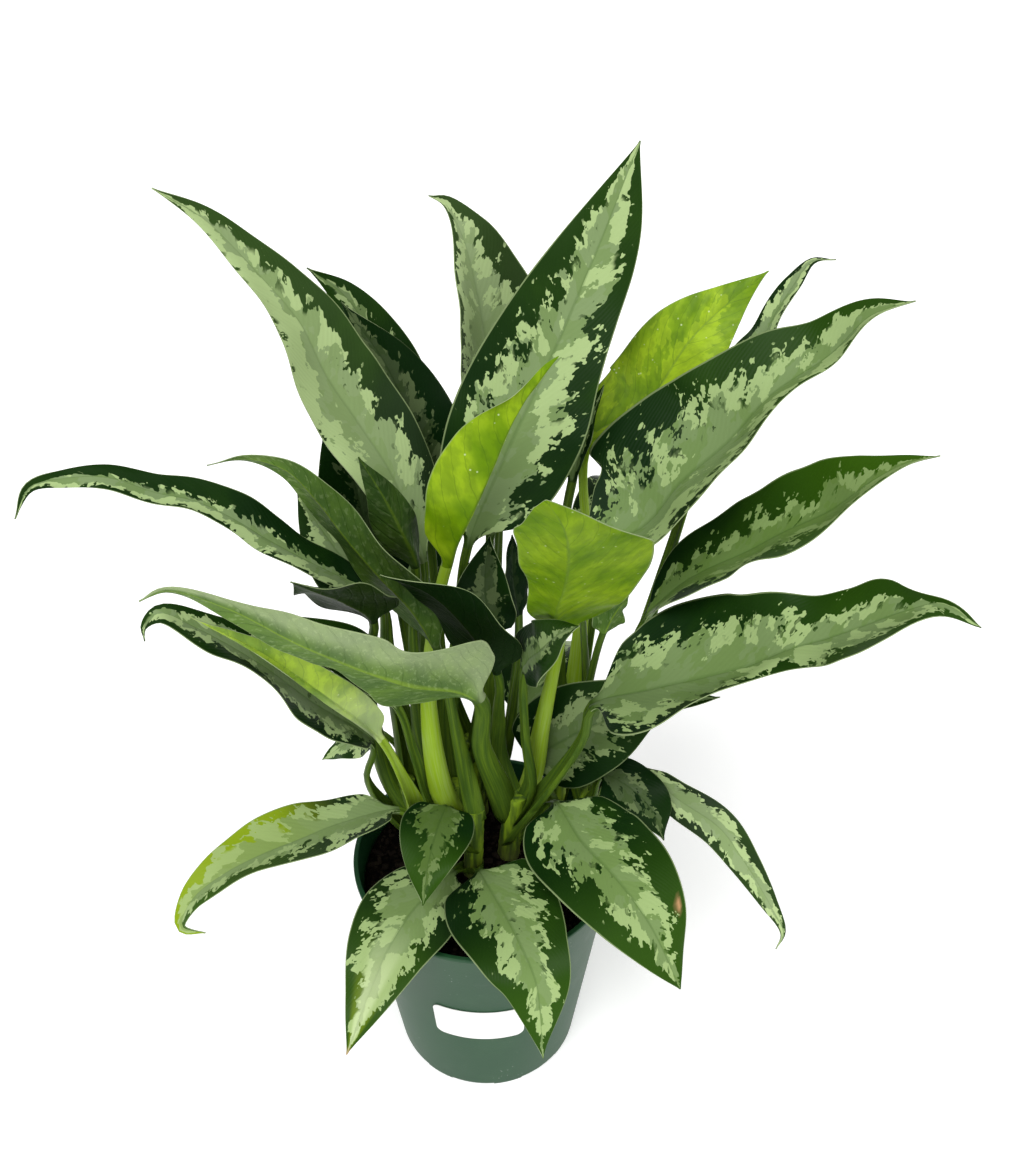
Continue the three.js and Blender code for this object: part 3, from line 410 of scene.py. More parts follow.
class SoilSettings(bpy.types.PropertyGroup):
    """Sizes and colours of the potting mix."""

    top: metres("Top", "Height of the mix at the wall", 0.146)
    crown: metres("Crown", "How much higher the mix stands round the canes", 0.003)
    relief: metres("Relief", "Height of the lumps", 0.0016)
    crumbs: bpy.props.IntProperty(
        name="Crumbs", description="Number of loose crumbs and bark chips", default=900, min=0, max=3000)
    # The mix's colour is near black: partly the dark damp mix, partly painted shade from the leaves above it.
    mix: tint("Potting mix", "Colour of the damp mix", (0.0010, 0.0007, 0.0005))
    bark: tint("Bark", "Colour of the chips", (0.017, 0.011, 0.007))


class LeafSettings(bpy.types.PropertyGroup):
    """Thickness, relief and colours of the leaves."""

    thick: metres("Blade thickness", "Thickness of a blade beside its midrib", 0.0006)
    margin_thick: metres("Margin thickness", "Thickness of a blade at its margin", 0.0004)
    vein_relief: metres("Vein relief", "Height of the swell between side veins", 0.00012)
    ripple: metres("Margin ripple", "Height of the small waves along the margins", 0.0007)
    border: tint("Dark green", "Colour of the border", (0.004, 0.020, 0.003))
    # border_lit is the dark border as lit, for painted light on the upper faces; underside veins and young
    # leaves take it as a bright green.
    border_lit: tint("Bright green", "Colour of the border towards the tip", (0.036, 0.100, 0.004))
    silver: tint("Silver green", "Colour of the pale centre", (0.205, 0.285, 0.130))
    pale: tint("Pale green", "Colour of the lightest patches in the centre", (0.425, 0.555, 0.245))
    fresh: tint("Fresh green", "Colour of the centre on greener leaves", (0.110, 0.205, 0.026))
    under: tint("Underside", "Colour of the underside", (0.060, 0.125, 0.024))
    lime: tint("Lime", "Colour of the young leaves", (0.130, 0.255, 0.001))
    lime_pale: tint("Pale lime", "Colour of the young leaves' patches", (0.350, 0.520, 0.012))
    stalk: tint("Stalk", "Colour of the stalks", (0.042, 0.088, 0.010))
    stalk_lime: tint("Young stalk", "Colour of the young leaves' stalks", (0.250, 0.390, 0.016))
    ripe: tint("Ripe", "Colour of the yellowed margins", (0.210, 0.310, 0.004))
    edge: tint("Margin line", "Colour of the thin line along the margins", (0.260, 0.340, 0.150))


class StageSettings(bpy.types.PropertyGroup):
    """The camera's place and the light."""

    camera: bpy.props.FloatVectorProperty(
        name="Camera", description="Place of the camera", default=(0.017, -0.480, 0.717),
        subtype="TRANSLATION")
    tilt: bpy.props.FloatProperty(
        name="Tilt", description="How far the camera looks down", default=math.radians(36.2), subtype="ANGLE")
    lens: bpy.props.FloatProperty(
        name="Lens", description="Focal length in millimetres on a 36 mm sensor", default=35.32)
    floor: tint("Floor", "Colour of the floor", (0.93, 0.93, 0.93))
    sky: bpy.props.FloatProperty(
        name="Sky", description="Strength of the even light from all round", default=0.42)
    key: bpy.props.FloatProperty(
        name="Key light", description="Strength of the sun above and beside the camera", default=2.3)


class Value:
    """A number in a shader. Arithmetic on it adds the Math nodes that work it out."""

    def __init__(self, shader, link):
        self.shader = shader
        self.link = link

    def math(self, operation, *others):
        node = self.shader.node("ShaderNodeMath", {"operation": operation})
        for socket, value in zip(node.inputs, (self, *others)):
            self.shader.feed(socket, value)
        return Value(self.shader, node.outputs[0])

    def __add__(self, other):
        return self.math("ADD", other)

    __radd__ = __add__

    def __sub__(self, other):
        return self.math("SUBTRACT", other)

    def __rsub__(self, other):
        return (self * -1) + other

    def __mul__(self, other):
        return self.math("MULTIPLY", other)

    def __truediv__(self, other):
        return self.math("DIVIDE", other)

    def __gt__(self, other):
        return self.math("GREATER_THAN", other)

    def __abs__(self):
        return self.math("ABSOLUTE")


class Shader:
    """One material and the nodes that it is made of."""

    def __init__(self, name, roughness=0.5, **constants):
        self.material = bpy.data.materials.new(name)
        self.material.use_nodes = True
        self.tree = self.material.node_tree
        self.surface = self.tree.nodes["Principled BSDF"]
        self.surface.inputs["Roughness"].default_value = roughness
        # specular_ior_level stands for the input that is called Specular IOR Level.
        for word, value in constants.items():
            socket = word.replace("_", " ").title().replace("Ior", "IOR")
            self.surface.inputs[socket].default_value = value

    def feed(self, socket, value):
        if isinstance(value, Value):
            self.tree.links.new(value.link, socket)
        elif isinstance(value, bpy.types.NodeSocket):
            self.tree.links.new(value, socket)
        elif socket.type == "RGBA":
            socket.default_value = (*value, 1)
        else:
            socket.default_value = value

    def node(self, kind, settings=None, inputs=None):
        node = self.tree.nodes.new(kind)
        for name, value in (settings or {}).items():
            setattr(node, name, value)
        for name, value in (inputs or {}).items():
            self.feed(node.inputs[name], value)
        return node

    def separate(self, vector):
        outputs = self.node("ShaderNodeSeparateXYZ", inputs={"Vector": vector}).outputs
        return [Value(self, output) for output in outputs]

    def combine(self, x, y, z):
        return self.node("ShaderNodeCombineXYZ", inputs={"X": x, "Y": y, "Z": z}).outputs["Vector"]

    def uv(self, name):
        return self.node("ShaderNodeUVMap", {"uv_map": name}).outputs["UV"]

    def place(self):
        return self.node("ShaderNodeTexCoord").outputs["Object"]

    def attribute(self, name):
        node = self.node("ShaderNodeAttribute", {"attribute_name": name})
        return Value(self, node.outputs["Fac"])

    def noise(self, vector, scale, detail=3.0, roughness=0.55):
        inputs = {"Vector": vector, "Scale": scale, "Detail": detail, "Roughness": roughness}
        return Value(self, self.node("ShaderNodeTexNoise", inputs=inputs).outputs["Fac"])

    def scaled(self, vector, sizes, offset):
        options = {"operation": "MULTIPLY_ADD"}
        return self.node("ShaderNodeVectorMath", options, {0: vector, 1: sizes, 2: offset}).outputs[0]

    def specks(self, vector, scale):
        inputs = {"Vector": vector, "Scale": scale}
        return Value(self, self.node("ShaderNodeTexVoronoi", inputs=inputs).outputs["Distance"])

    def fade(self, value, low, high):
        inputs = {"Value": value, "From Min": low, "From Max": high}
        node = self.node("ShaderNodeMapRange", {"interpolation_type": "SMOOTHSTEP"}, inputs)
        return Value(self, node.outputs["Result"])

    def mix(self, factor, first, second):
        # Sockets 6 and 7 are the node's colours, and 2 is the mixed colour.
        node = self.node("ShaderNodeMix", {"data_type": "RGBA"})
        self.feed(node.inputs[0], factor)
        self.feed(node.inputs[6], first)
        self.feed(node.inputs[7], second)
        return node.outputs[2]

    def paint(self, colour):
        self.feed(self.surface.inputs["Base Color"], colour)

    def rough(self, value):
        self.feed(self.surface.inputs["Roughness"], value)

    def bump(self, height, distance):
        node = self.node("ShaderNodeBump", inputs={"Height": height, "Distance": distance})
        self.feed(self.surface.inputs["Normal"], node.outputs["Normal"])


def once(name, make):
    """The material called name, made the first time that it is asked for."""
    return bpy.data.materials.get(name) or make(name)


def plastic(name):
    settings = bpy.context.scene.evergreen_pot
    shader = Shader(name, roughness=0.42, specular_ior_level=0.2)
    place = shader.place()
    cloud = shader.noise(place, 28, 5, 0.6)
    rubbed = shader.fade(cloud, 0.42, 0.75) * 0.4
    colour = shader.mix(rubbed, settings.plastic, settings.scuffed)
    dust = 1 - shader.fade(shader.specks(place, 300), 0.05, 0.15)
    sparse = shader.fade(shader.noise(place, 45, 2), 0.56, 0.66)
    shader.paint(shader.mix(dust * sparse * 0.6, colour, POT_DUST))
    shader.rough(0.36 + cloud * 0.2)
    shader.bump(shader.noise(place, 900, 2), 0.00006)
    return shader.material


def paper(name):
    shader = Shader(name, roughness=0.55)
    shader.paint(bpy.context.scene.evergreen_pot.paper)
    shader.bump(shader.noise(shader.place(), 1400, 2), 0.00002)
    return shader.material


def potting_mix(name):
    settings = bpy.context.scene.evergreen_soil
    shader = Shader(name, roughness=0.92, specular_ior_level=0.05)
    place = shader.place()
    grain = shader.noise(place, 420, 5, 0.7)
    # Near-black colour: the damp mix's own dark colour with painted shade.
    shader.paint(shader.mix(shader.fade(grain, 0.45, 0.75), settings.mix, settings.bark))
    shader.bump(shader.noise(place, 900, 4, 0.7), 0.0006)
    return shader.material


def bark(name):
    settings = bpy.context.scene.evergreen_soil
    shader = Shader(name, roughness=0.85, specular_ior_level=0.1)
    place = shader.place()
    # Chips mottle between bark and the near-black mix colour, which holds painted shade.
    shader.paint(shader.mix(shader.noise(place, 130, 3), settings.mix, settings.bark))
    shader.bump(shader.noise(place, 1500, 3), 0.0003)
    return shader.material


def cane_skin(name):
    settings = bpy.context.scene.evergreen_leaf
    shader = Shader(name, roughness=0.5)
    place = shader.place()
    x, y, z = shader.separate(place)
    streaks = shader.noise(shader.combine(x * 260, y * 260, z * 26), 1, 3)
    colour = shader.mix(shader.fade(streaks, 0.35, 0.7), settings.stalk, settings.stalk_lime)
    # The canes turn darker and browner towards their feet at the mix.
    foot_dark = 1 - shader.fade(z, 0.147, 0.175)
    shader.paint(shader.mix(foot_dark * 0.7, colour, CANE_FOOT_DARK))
    shader.bump(streaks, 0.0002)
    return shader.material


def leaf_pattern(shader):
    """Where the surface is on its blade: its shares of the way out and along, its level across the side
    veins, and a grain for its patches."""
    across, along, _ = shader.separate(shader.uv("Blade"))
    side = across * 2 - 1
    x, y, _ = shader.separate(shader.uv("Pattern"))
    beside = abs(x)
    level = y - beside * (VEIN_LEAN + abs(side) * VEIN_CURVE)
    crosswise = beside * math.cos(GRAIN_LEAN) - y * math.sin(GRAIN_LEAN)
    lengthwise = beside * math.sin(GRAIN_LEAN) + y * math.cos(GRAIN_LEAN)
    grain = shader.combine(crosswise, lengthwise / GRAIN_STRETCH, (side > 0) * HALF_SHIFT)
    return abs(side), along, level, grain


def blotches(shader, grain, layer, fine, detail=3.0, roughness=0.55):
    """Noise in patches that lean along the side veins, fine per metre. Each layer is another noise."""
    place = shader.scaled(grain, (fine, fine, 1), (0, 0, layer * LAYER_SHIFT))
    return shader.noise(place, 1, detail, roughness)


def paint_light_and_shade(shader, colour, lift=1.0):
    """Painted shade and painted light: darken a colour towards shade or lighten it towards sunlight by the
    share lift, by the leaf's painted light value.
    """
    painted_light = shader.attribute("painted_light")
    darker = shader.mix(shader.fade(painted_light * -1, 0.0, 1.0), colour, SHADED)
    return shader.mix(shader.fade(painted_light, 0.0, 1.0) * lift, darker, SUNLIT)


def margined(shader, colour, beside, share):
    """Draw the thin pale line along the margins."""
    line = shader.fade(beside, *MARGIN_LINE)
    return shader.mix(line * share, colour, bpy.context.scene.evergreen_leaf.edge)


def footed(shader, colour, along):
    """Let the stalk's colour run a little way into the blade."""
    foot = 1 - shader.fade(along, 0.0, 0.05)
    return shader.mix(foot, colour, bpy.context.scene.evergreen_leaf.stalk)


def side_veins(level, cloud):
    """A wave along the blade with a crest at each side vein. The cloud makes the veins stray."""
    strayed = level + (cloud - 0.5) * VEIN_STRAY
    return (strayed * (2 * math.pi / (VEIN_SPACING_MM * MM))).math("SINE")


def mature_upper(name):
    settings = bpy.context.scene.evergreen_leaf
    shader = Shader(name, roughness=0.40, specular_ior_level=0.06)
    beside, along, level, grain = leaf_pattern(shader)
    green = shader.attribute("green")

    lobes = blotches(shader, grain, 0, 40, 2)
    teeth = blotches(shader, grain, 1, 115, 3, 0.58)
    reach = (0.86 - along * 0.32) * shader.attribute("silver")
    edge = reach - beside + (lobes - 0.5) * 1.1 + (teeth - 0.5) * 1.3
    centre = shader.fade(edge, -0.010, 0.010)
    inshore = (1 - shader.fade(edge, 0.10, 0.42)) * shader.fade(edge, -0.22, 0.0)
    islands = shader.fade(blotches(shader, grain, 2, 240, 2) + inshore * 0.06, 0.595, 0.607)
    centre = centre * (1 - islands * inshore)
    flecks = shader.fade(blotches(shader, grain, 3, 320, 2) + edge * 0.25, 0.610, 0.622)
    centre = centre.math("MAXIMUM", flecks * shader.fade(edge, -0.30, -0.05))

    patches = blotches(shader, grain, 4, 78, 4, 0.6)
    light = shader.fade(patches + (beside - 0.36) * 0.32 + (along - 0.52) * 0.16, 0.500, 0.510)
    shade = blotches(shader, grain, 5, 85, 3)
    plain = shader.mix(shader.fade(shade, 0.50, 0.52) * 0.32, settings.silver, settings.fresh)
    plain = shader.mix(green * 0.75, plain, settings.fresh)
    pale = shader.mix(green * 0.6, settings.pale, settings.fresh)
    inner = shader.mix(light * 0.85, plain, pale)

    # Painted light: the dark border turns to its lit green towards the tip, more on greener leaves, and a
    # painted sheen lightens it in patches.
    outer = shader.mix(shader.fade(along, 0.25, 0.85) * green * 1.2, settings.border, settings.border_lit)
    sheen = shader.fade(blotches(shader, grain, 6, 30), 0.45, 0.8)
    outer = shader.mix(sheen * 0.3, outer, settings.border_lit)
    ripe = shader.attribute("ripe")
    outer = shader.mix(ripe, outer, settings.ripe)
    inner = shader.mix(ripe * 0.3, inner, settings.ripe)
    colour = shader.mix(centre, outer, inner)

    rib = 1 - shader.fade(beside, 0.010, 0.045)
    colour = shader.mix(rib * 0.35, colour, settings.under)
    colour = footed(shader, colour, along)
    colour = margined(shader, colour, beside, 0.7)
    colour = shader.mix(shader.attribute("scorch"), colour, SCORCHED)
    # Painted shade and painted light for each leaf, lightening mostly the pale centre.
    shader.paint(paint_light_and_shade(shader, colour, centre * 0.85 + 0.15))
    fine_veins = (level * (2 * math.pi / (VEIN_SPACING_MM * MM / 3))).math("SINE")
    shader.bump(fine_veins * 0.2 + teeth * 0.9, 0.00012)
    return shader.material


def mature_under(name):
    settings = bpy.context.scene.evergreen_leaf
    shader = Shader(name, roughness=0.48, specular_ior_level=0.06)
    beside, along, level, grain = leaf_pattern(shader)
    cloudy = shader.fade(blotches(shader, grain, 0, 55, 4, 0.6), 0.35, 0.65)
    colour = shader.mix(cloudy * 0.8, settings.under, settings.fresh)
    pebbles = blotches(shader, grain, 1, 480, 2)
    colour = shader.mix(shader.fade(pebbles, 0.54, 0.66) * 0.20, colour, settings.pale)
    veins = side_veins(level, blotches(shader, grain, 2, 60, 2))
    colour = shader.mix(shader.fade(veins, 0.965, 1.0) * 0.65, colour, settings.border_lit)
    rib = 1 - shader.fade(beside, 0.02, 0.06)
    colour = shader.mix(rib * 0.4, colour, settings.stalk_lime)
    colour = margined(shader, colour, beside, 0.6)
    colour = footed(shader, colour, along)
    # Painted shade and painted light for each leaf.
    shader.paint(paint_light_and_shade(shader, colour))
    shader.bump(pebbles - shader.fade(veins, 0.8, 1.0) * 0.5, 0.00035)
    return shader.material


def young_leaf(name, patchy):
    """A lime leaf's face. patchy is the strength of its pale patches."""
    settings = bpy.context.scene.evergreen_leaf
    shader = Shader(name, roughness=0.42, specular_ior_level=0.08)
    beside, _, level, grain = leaf_pattern(shader)
    large = blotches(shader, grain, 0, 48, 4, 0.6)
    shade = blotches(shader, grain, 1, 190, 3)
    yellow = 1 - shader.attribute("green") * 0.9
    colour = shader.mix(shader.fade(large, 0.35, 0.65) * yellow, settings.lime, settings.lime_pale)
    patches = shader.fade(large + (shade - 0.5) * 0.35 - beside * 0.12, 0.455, 0.475)
    colour = shader.mix(patches * patchy, colour, settings.lime_pale)
    colour = shader.mix(shader.fade(shade, 0.42, 0.62) * 0.3, colour, settings.border_lit)
    veins = side_veins(level, large)
    colour = shader.mix(shader.fade(veins, 0.972, 1.0) * 0.35, colour, settings.border_lit)
    rib = 1 - shader.fade(beside, 0.012, 0.04)
    colour = shader.mix(rib * 0.4, colour, settings.fresh)
    dust = 1 - shader.fade(shader.specks(shader.place(), 240), 0.06, 0.16)
    sparse = shader.fade(shader.noise(shader.place(), 90, 2), 0.52, 0.60)
    colour = shader.mix(dust * sparse * 0.6, colour, LEAF_DUST)
    colour = margined(shader, colour, beside, 0.5)
    # Painted shade and painted light for each leaf.
    shader.paint(paint_light_and_shade(shader, colour))
    shader.bump(shade - veins * 0.4, 0.00016)
    return shader.material


def young_upper(name):
    return young_leaf(name, 0.7)


def young_under(name):
    return young_leaf(name, 0.15)


def stalk_skin(name, colour, ribbed):
    """A stalk's skin: its colour, fine lengthwise ribs of a second colour, and dust."""
    settings = bpy.context.scene.evergreen_leaf
    shader = Shader(name, roughness=0.45, specular_ior_level=0.1)
    x, y, _ = shader.separate(shader.uv("Pattern"))
    streaks = shader.noise(shader.combine(x * 900, y * 22, 0), 1, 3)
    colour = shader.mix(shader.fade(streaks, 0.35, 0.75) * 0.28, colour, ribbed)
    dust = 1 - shader.fade(shader.specks(shader.place(), 520), 0.05, 0.16)
    shader.paint(shader.mix(dust * 0.18, colour, settings.edge))
    shader.bump(streaks, 0.00015)
    return shader.material


def mature_stalk(name):
    settings = bpy.context.scene.evergreen_leaf
    return stalk_skin(name, settings.stalk, settings.stalk_lime)


def young_stalk(name):
    settings = bpy.context.scene.evergreen_leaf
    return stalk_skin(name, settings.stalk_lime, settings.pale)


def leaf_margin(name):
    shader = Shader(name, roughness=0.5)
    shader.paint(bpy.context.scene.evergreen_leaf.edge)
    return shader.material


MATURE_SKIN = (
    ("leaf_top", mature_upper),
    ("leaf_underside", mature_under),
    ("leaf_stalk", mature_stalk),
    ("leaf_margin", leaf_margin),
)
YOUNG_SKIN = (
    ("young_top", young_upper),
    ("young_underside", young_under),
    ("young_stalk", young_stalk),
    ("leaf_margin", leaf_margin),
)


def deselect_all():
    if bpy.context.mode != "OBJECT":
        bpy.ops.object.mode_set(mode="OBJECT")
    bpy.ops.object.select_all(action="DESELECT")


def extruded_rings(name, sides, rings):
    """A closed round body: a filled circle at the first ring, extruded and scaled to each next one."""
    deselect_all()
    centre, radius = rings[0]
    bpy.ops.mesh.primitive_circle_add(vertices=sides, radius=radius, fill_type="NGON", location=centre)
    piece = bpy.context.object
    piece.name = name
    bpy.ops.object.transform_apply(location=True, rotation=True, scale=True)
    bpy.ops.object.mode_set(mode="EDIT")
    bpy.ops.mesh.select_all(action="SELECT")
    for (before, old), (after, new) in zip(rings, rings[1:]):
        step = Vector(after) - Vector(before)
        bpy.ops.mesh.extrude_region_move(TRANSFORM_OT_translate={"value": step})
        grow = new / old
        bpy.ops.transform.resize(value=(grow, grow, 1), center_override=after)
    bpy.ops.mesh.select_all(action="SELECT")
    bpy.ops.mesh.normals_make_consistent(inside=False)
    bpy.ops.object.mode_set(mode="OBJECT")
    return piece


def apply_modifiers(piece):
    deselect_all()
    piece.select_set(True)
    bpy.context.view_layer.objects.active = piece
    for modifier in list(piece.modifiers):
        bpy.ops.object.modifier_apply(modifier=modifier.name)


def smooth_shade(piece, angle=35):
    deselect_all()
    piece.select_set(True)
    bpy.context.view_layer.objects.active = piece
    bpy.ops.object.shade_smooth_by_angle(angle=math.radians(angle))


def finish(piece, slot, *nodes):
    """The piece rides on the plant's one body and stands for the nodes, whose solids it hides. slot is not
    used.
    """
    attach(piece, "root")
    if nodes:
        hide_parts(*nodes)


def wall_radius(z):
    """Outer radius of the pot's wall at a height."""
    pot = bpy.context.scene.evergreen_pot
    return pot.foot_radius + (pot.top_radius - pot.foot_radius) * z / pot.height


def inner_radius(z):
    return wall_radius(z) - bpy.context.scene.evergreen_pot.wall


class EVERGREEN_OT_pot(bpy.types.Operator):
    """Build the round nursery pot: tapered wall, band, rolled rim and foot notches"""

    bl_idname = "evergreen.pot"
    bl_label = "Pot"

    def execute(self, context):
        pot = context.scene.evergreen_pot
        top = pot.height
        lip = pot.top_radius + RIM_LIP
        profile = [
            (0, pot.foot_radius - FOOT_ROUND),
            (FOOT_ROUND, wall_radius(FOOT_ROUND)),
            (NOTCH_HEIGHT * 2, wall_radius(NOTCH_HEIGHT * 2)),
            (BAND_BOTTOM / 2, wall_radius(BAND_BOTTOM / 2)),
            (BAND_BOTTOM, wall_radius(BAND_BOTTOM)),
            (BAND_BOTTOM + BAND_STEP, wall_radius(BAND_BOTTOM) + BAND_PROUD),
            (top - BAND_END, wall_radius(top - BAND_END) + BAND_PROUD),
            (top - RIM_HEIGHT, lip),
            (top - RIM_ROUND, lip),
            (top, lip - RIM_ROUND),
            (top, inner_radius(top) + RIM_ROUND),
            (top - RIM_ROUND, inner_radius(top)),
            (top / 2, inner_radius(top / 2)),
            (POT_FLOOR, inner_radius(POT_FLOOR)),
        ]
        piece = extruded_rings("pot_shell", POT_SIDES, [((0, 0, z), radius) for z, radius in profile])
        for i in range(NOTCHES):
            self.cut_notch(piece, pot.foot_radius, math.radians(FIRST_NOTCH + i * 360 / NOTCHES))
        soften = piece.modifiers.new("soften", "BEVEL")
        soften.width = POT_SOFTEN
        soften.segments = 2
        soften.limit_method = "ANGLE"
        soften.angle_limit = math.radians(30)
        apply_modifiers(piece)
        smooth_shade(piece)
        piece.data.materials.append(once("pot_plastic", plastic))
        finish(piece, "pot", "pot")
        return {"FINISHED"}

    def cut_notch(self, piece, radius, bearing):
        deselect_all()
        place = (radius * math.cos(bearing), radius * math.sin(bearing), 0)
        bpy.ops.mesh.primitive_cube_add(size=1, location=place, rotation=(0, 0, bearing))
        cutter = bpy.context.object
        cutter.scale = (NOTCH_DEPTH * 2, NOTCH_WIDTH, NOTCH_HEIGHT * 2)
        notch = piece.modifiers.new("notch", "BOOLEAN")
        notch.operation = "DIFFERENCE"
        notch.object = cutter
        apply_modifiers(piece)
        bpy.data.objects.remove(cutter)


class EVERGREEN_OT_label(bpy.types.Operator):
    """Build the blank label: a thin patch with round corners that follows the wall"""

    bl_idname = "evergreen.label"
    bl_label = "Label"

    def execute(self, context):
        pot = context.scene.evergreen_pot
        middle = (LABEL_BOTTOM + LABEL_TOP) / 2
        radius = wall_radius(middle)
        width = math.radians(LABEL_TO - LABEL_FROM) * radius
        height = LABEL_TOP - LABEL_BOTTOM
        deselect_all()
        bpy.ops.mesh.primitive_plane_add(size=1)
        piece = context.object
        piece.name = "label_paper"
        piece.scale = (width, height, 1)
        bpy.ops.object.transform_apply(location=True, rotation=True, scale=True)
        bpy.ops.object.mode_set(mode="EDIT")
        bpy.ops.mesh.select_all(action="SELECT")
        bpy.ops.mesh.bevel(offset=LABEL_CORNER, segments=8, affect="VERTICES")
        for i in range(1, LABEL_COLUMNS):
            bpy.ops.mesh.select_all(action="SELECT")
            cut = width * (i / LABEL_COLUMNS - 0.5)
            bpy.ops.mesh.bisect(plane_co=(cut, 0, 0), plane_no=(1, 0, 0))
        bpy.ops.object.mode_set(mode="OBJECT")
        centre = math.radians((LABEL_FROM + LABEL_TO) / 2)
        for vertex in piece.data.vertices:
            z = middle + vertex.co.y
            bearing = centre + vertex.co.x / radius
            out = wall_radius(z) + GAP
            vertex.co = (out * math.cos(bearing), out * math.sin(bearing), z)
        body = piece.modifiers.new("body", "SOLIDIFY")
        body.thickness = pot.label_thick
        body.offset = 1
        apply_modifiers(piece)
        smooth_shade(piece)
        piece.data.materials.append(once("label_paper", paper))
        finish(piece, "label", "label")
        return {"FINISHED"}


class EVERGREEN_OT_soil(bpy.types.Operator):
    """Build the potting mix that fills the pot, with its loose crumbs and bark chips"""

    bl_idname = "evergreen.soil"
    bl_label = "Potting mix"

    def execute(self, context):
        soil = context.scene.evergreen_soil
        levels = (POT_FLOOR + GAP, soil.top - SOIL_SHOULDER)
        rings = [((0, 0, z), inner_radius(z) - SOIL_CLEAR) for z in levels]
        outer = inner_radius(soil.top) - SOIL_CLEAR - SOIL_ROUND
        for i in range(SOIL_STEPS):
            share = i / SOIL_STEPS
            height = soil.top + soil.crown * (1 - (1 - share) ** 2)
            rings.append(((0, 0, height), outer * (1 - share)))
        piece = extruded_rings("soil_mound", SOIL_SIDES, rings)
        for vertex in piece.data.vertices:
            if vertex.co.z > soil.top - SOIL_SHOULDER / 2:
                coarse = noise.fractal(vertex.co * LUMPS_PER_METRE, 0.8, 2.1, 4)
                vertex.co.z += soil.relief * (coarse - 0.35)
        smooth_shade(piece, 60)
        piece.data.materials.append(once("potting_mix", potting_mix))
        finish(piece, "soil", "soil")
        self.scatter(soil, outer)
        return {"FINISHED"}

    def scatter(self, soil, outer):
        """Crumbs and chips as one mesh: two forms shaped once, then copied with seeded places and turns."""
        deselect_all()
        bpy.ops.mesh.primitive_ico_sphere_add(subdivisions=1, radius=1)
        crumb = bpy.context.object
        bpy.ops.mesh.primitive_cube_add(size=1)
        chip = bpy.context.object
        bpy.ops.object.mode_set(mode="EDIT")
        bpy.ops.mesh.bevel(offset=0.14, segments=1, affect="EDGES")
        bpy.ops.object.mode_set(mode="OBJECT")
        draw = random.Random(CRUMB_SEED)
        points = []
        faces = []
        for i in range(soil.crumbs):
            form = chip if i % CHIP_EVERY == 0 else crumb
            reach = outer * math.sqrt(draw.random()) * CRUMB_REACH
            bearing = draw.uniform(0, 2 * math.pi)
            if form == chip:
                long = draw.uniform(*CHIP_LENGTHS)
                size = Vector((long, long * draw.uniform(*CHIP_WIDTHS), long * CHIP_THICKNESS))
            else:
                long = draw.uniform(*CRUMB_SIZES) * draw.uniform(*CRUMB_SHRINK)
                size = Vector((long, long * draw.uniform(*CRUMB_WIDTHS), long * CRUMB_THICKNESS))
            spin = Matrix.Rotation(draw.uniform(0, 6.28), 4, "Z")
            turn = spin @ Matrix.Rotation(draw.uniform(-CRUMB_TILT, CRUMB_TILT), 4, "X")
            height = soil.top + soil.crown * (1 - (reach / outer) ** 2)
            place = Matrix.Translation((reach * math.cos(bearing), reach * math.sin(bearing), height))
            move = place @ turn @ Matrix.Diagonal((*size, 1))
            start = len(points)
            points += [move @ vertex.co for vertex in form.data.vertices]
            faces += [[start + corner for corner in face.vertices] for face in form.data.polygons]
        bpy.data.objects.remove(crumb)
        bpy.data.objects.remove(chip)
        piece = new_piece("soil_crumbs", points, faces)
        piece.data.materials.append(once("bark_chips", bark))
        finish(piece, "soil")


def new_piece(name, points, faces):
    mesh = bpy.data.meshes.new(name)
    mesh.from_pydata(points, [], faces)
    piece = bpy.data.objects.new(name, mesh)
    bpy.context.scene.collection.objects.link(piece)
    return piece


def spline(knots):
    """Points on the smooth centripetal line through the knots, SAMPLES for each stretch."""
    ends = [knots[0] * 2 - knots[1], *knots, knots[-1] * 2 - knots[-2]]
    points = []
    for i in range(len(knots) - 1):
        before, start, end, after = ends[i:i + 4]
        first, step, last = ((b - a).length ** 0.5 for a, b in ((before, start), (start, end), (end, after)))
        leave = ((start - before) / first - (end - before) / (first + step) + (end - start) / step) * step
        arrive = ((end - start) / step - (after - start) / (step + last) + (after - end) / last) * step
        for j in range(SAMPLES):
            t = j / SAMPLES
            square = t * t
            cube = square * t
            points.append(start * (2 * cube - 3 * square + 1) + leave * (cube - 2 * square + t)
                          + end * (3 * square - 2 * cube) + arrive * (cube - square))
    points.append(knots[-1].copy())
    return points


def smooth(low, high, value):
    t = min(1, max(0, (value - low) / (high - low)))
    return t * t * (3 - 2 * t)


def lerp(first, second, share):
    return first + (second - first) * share


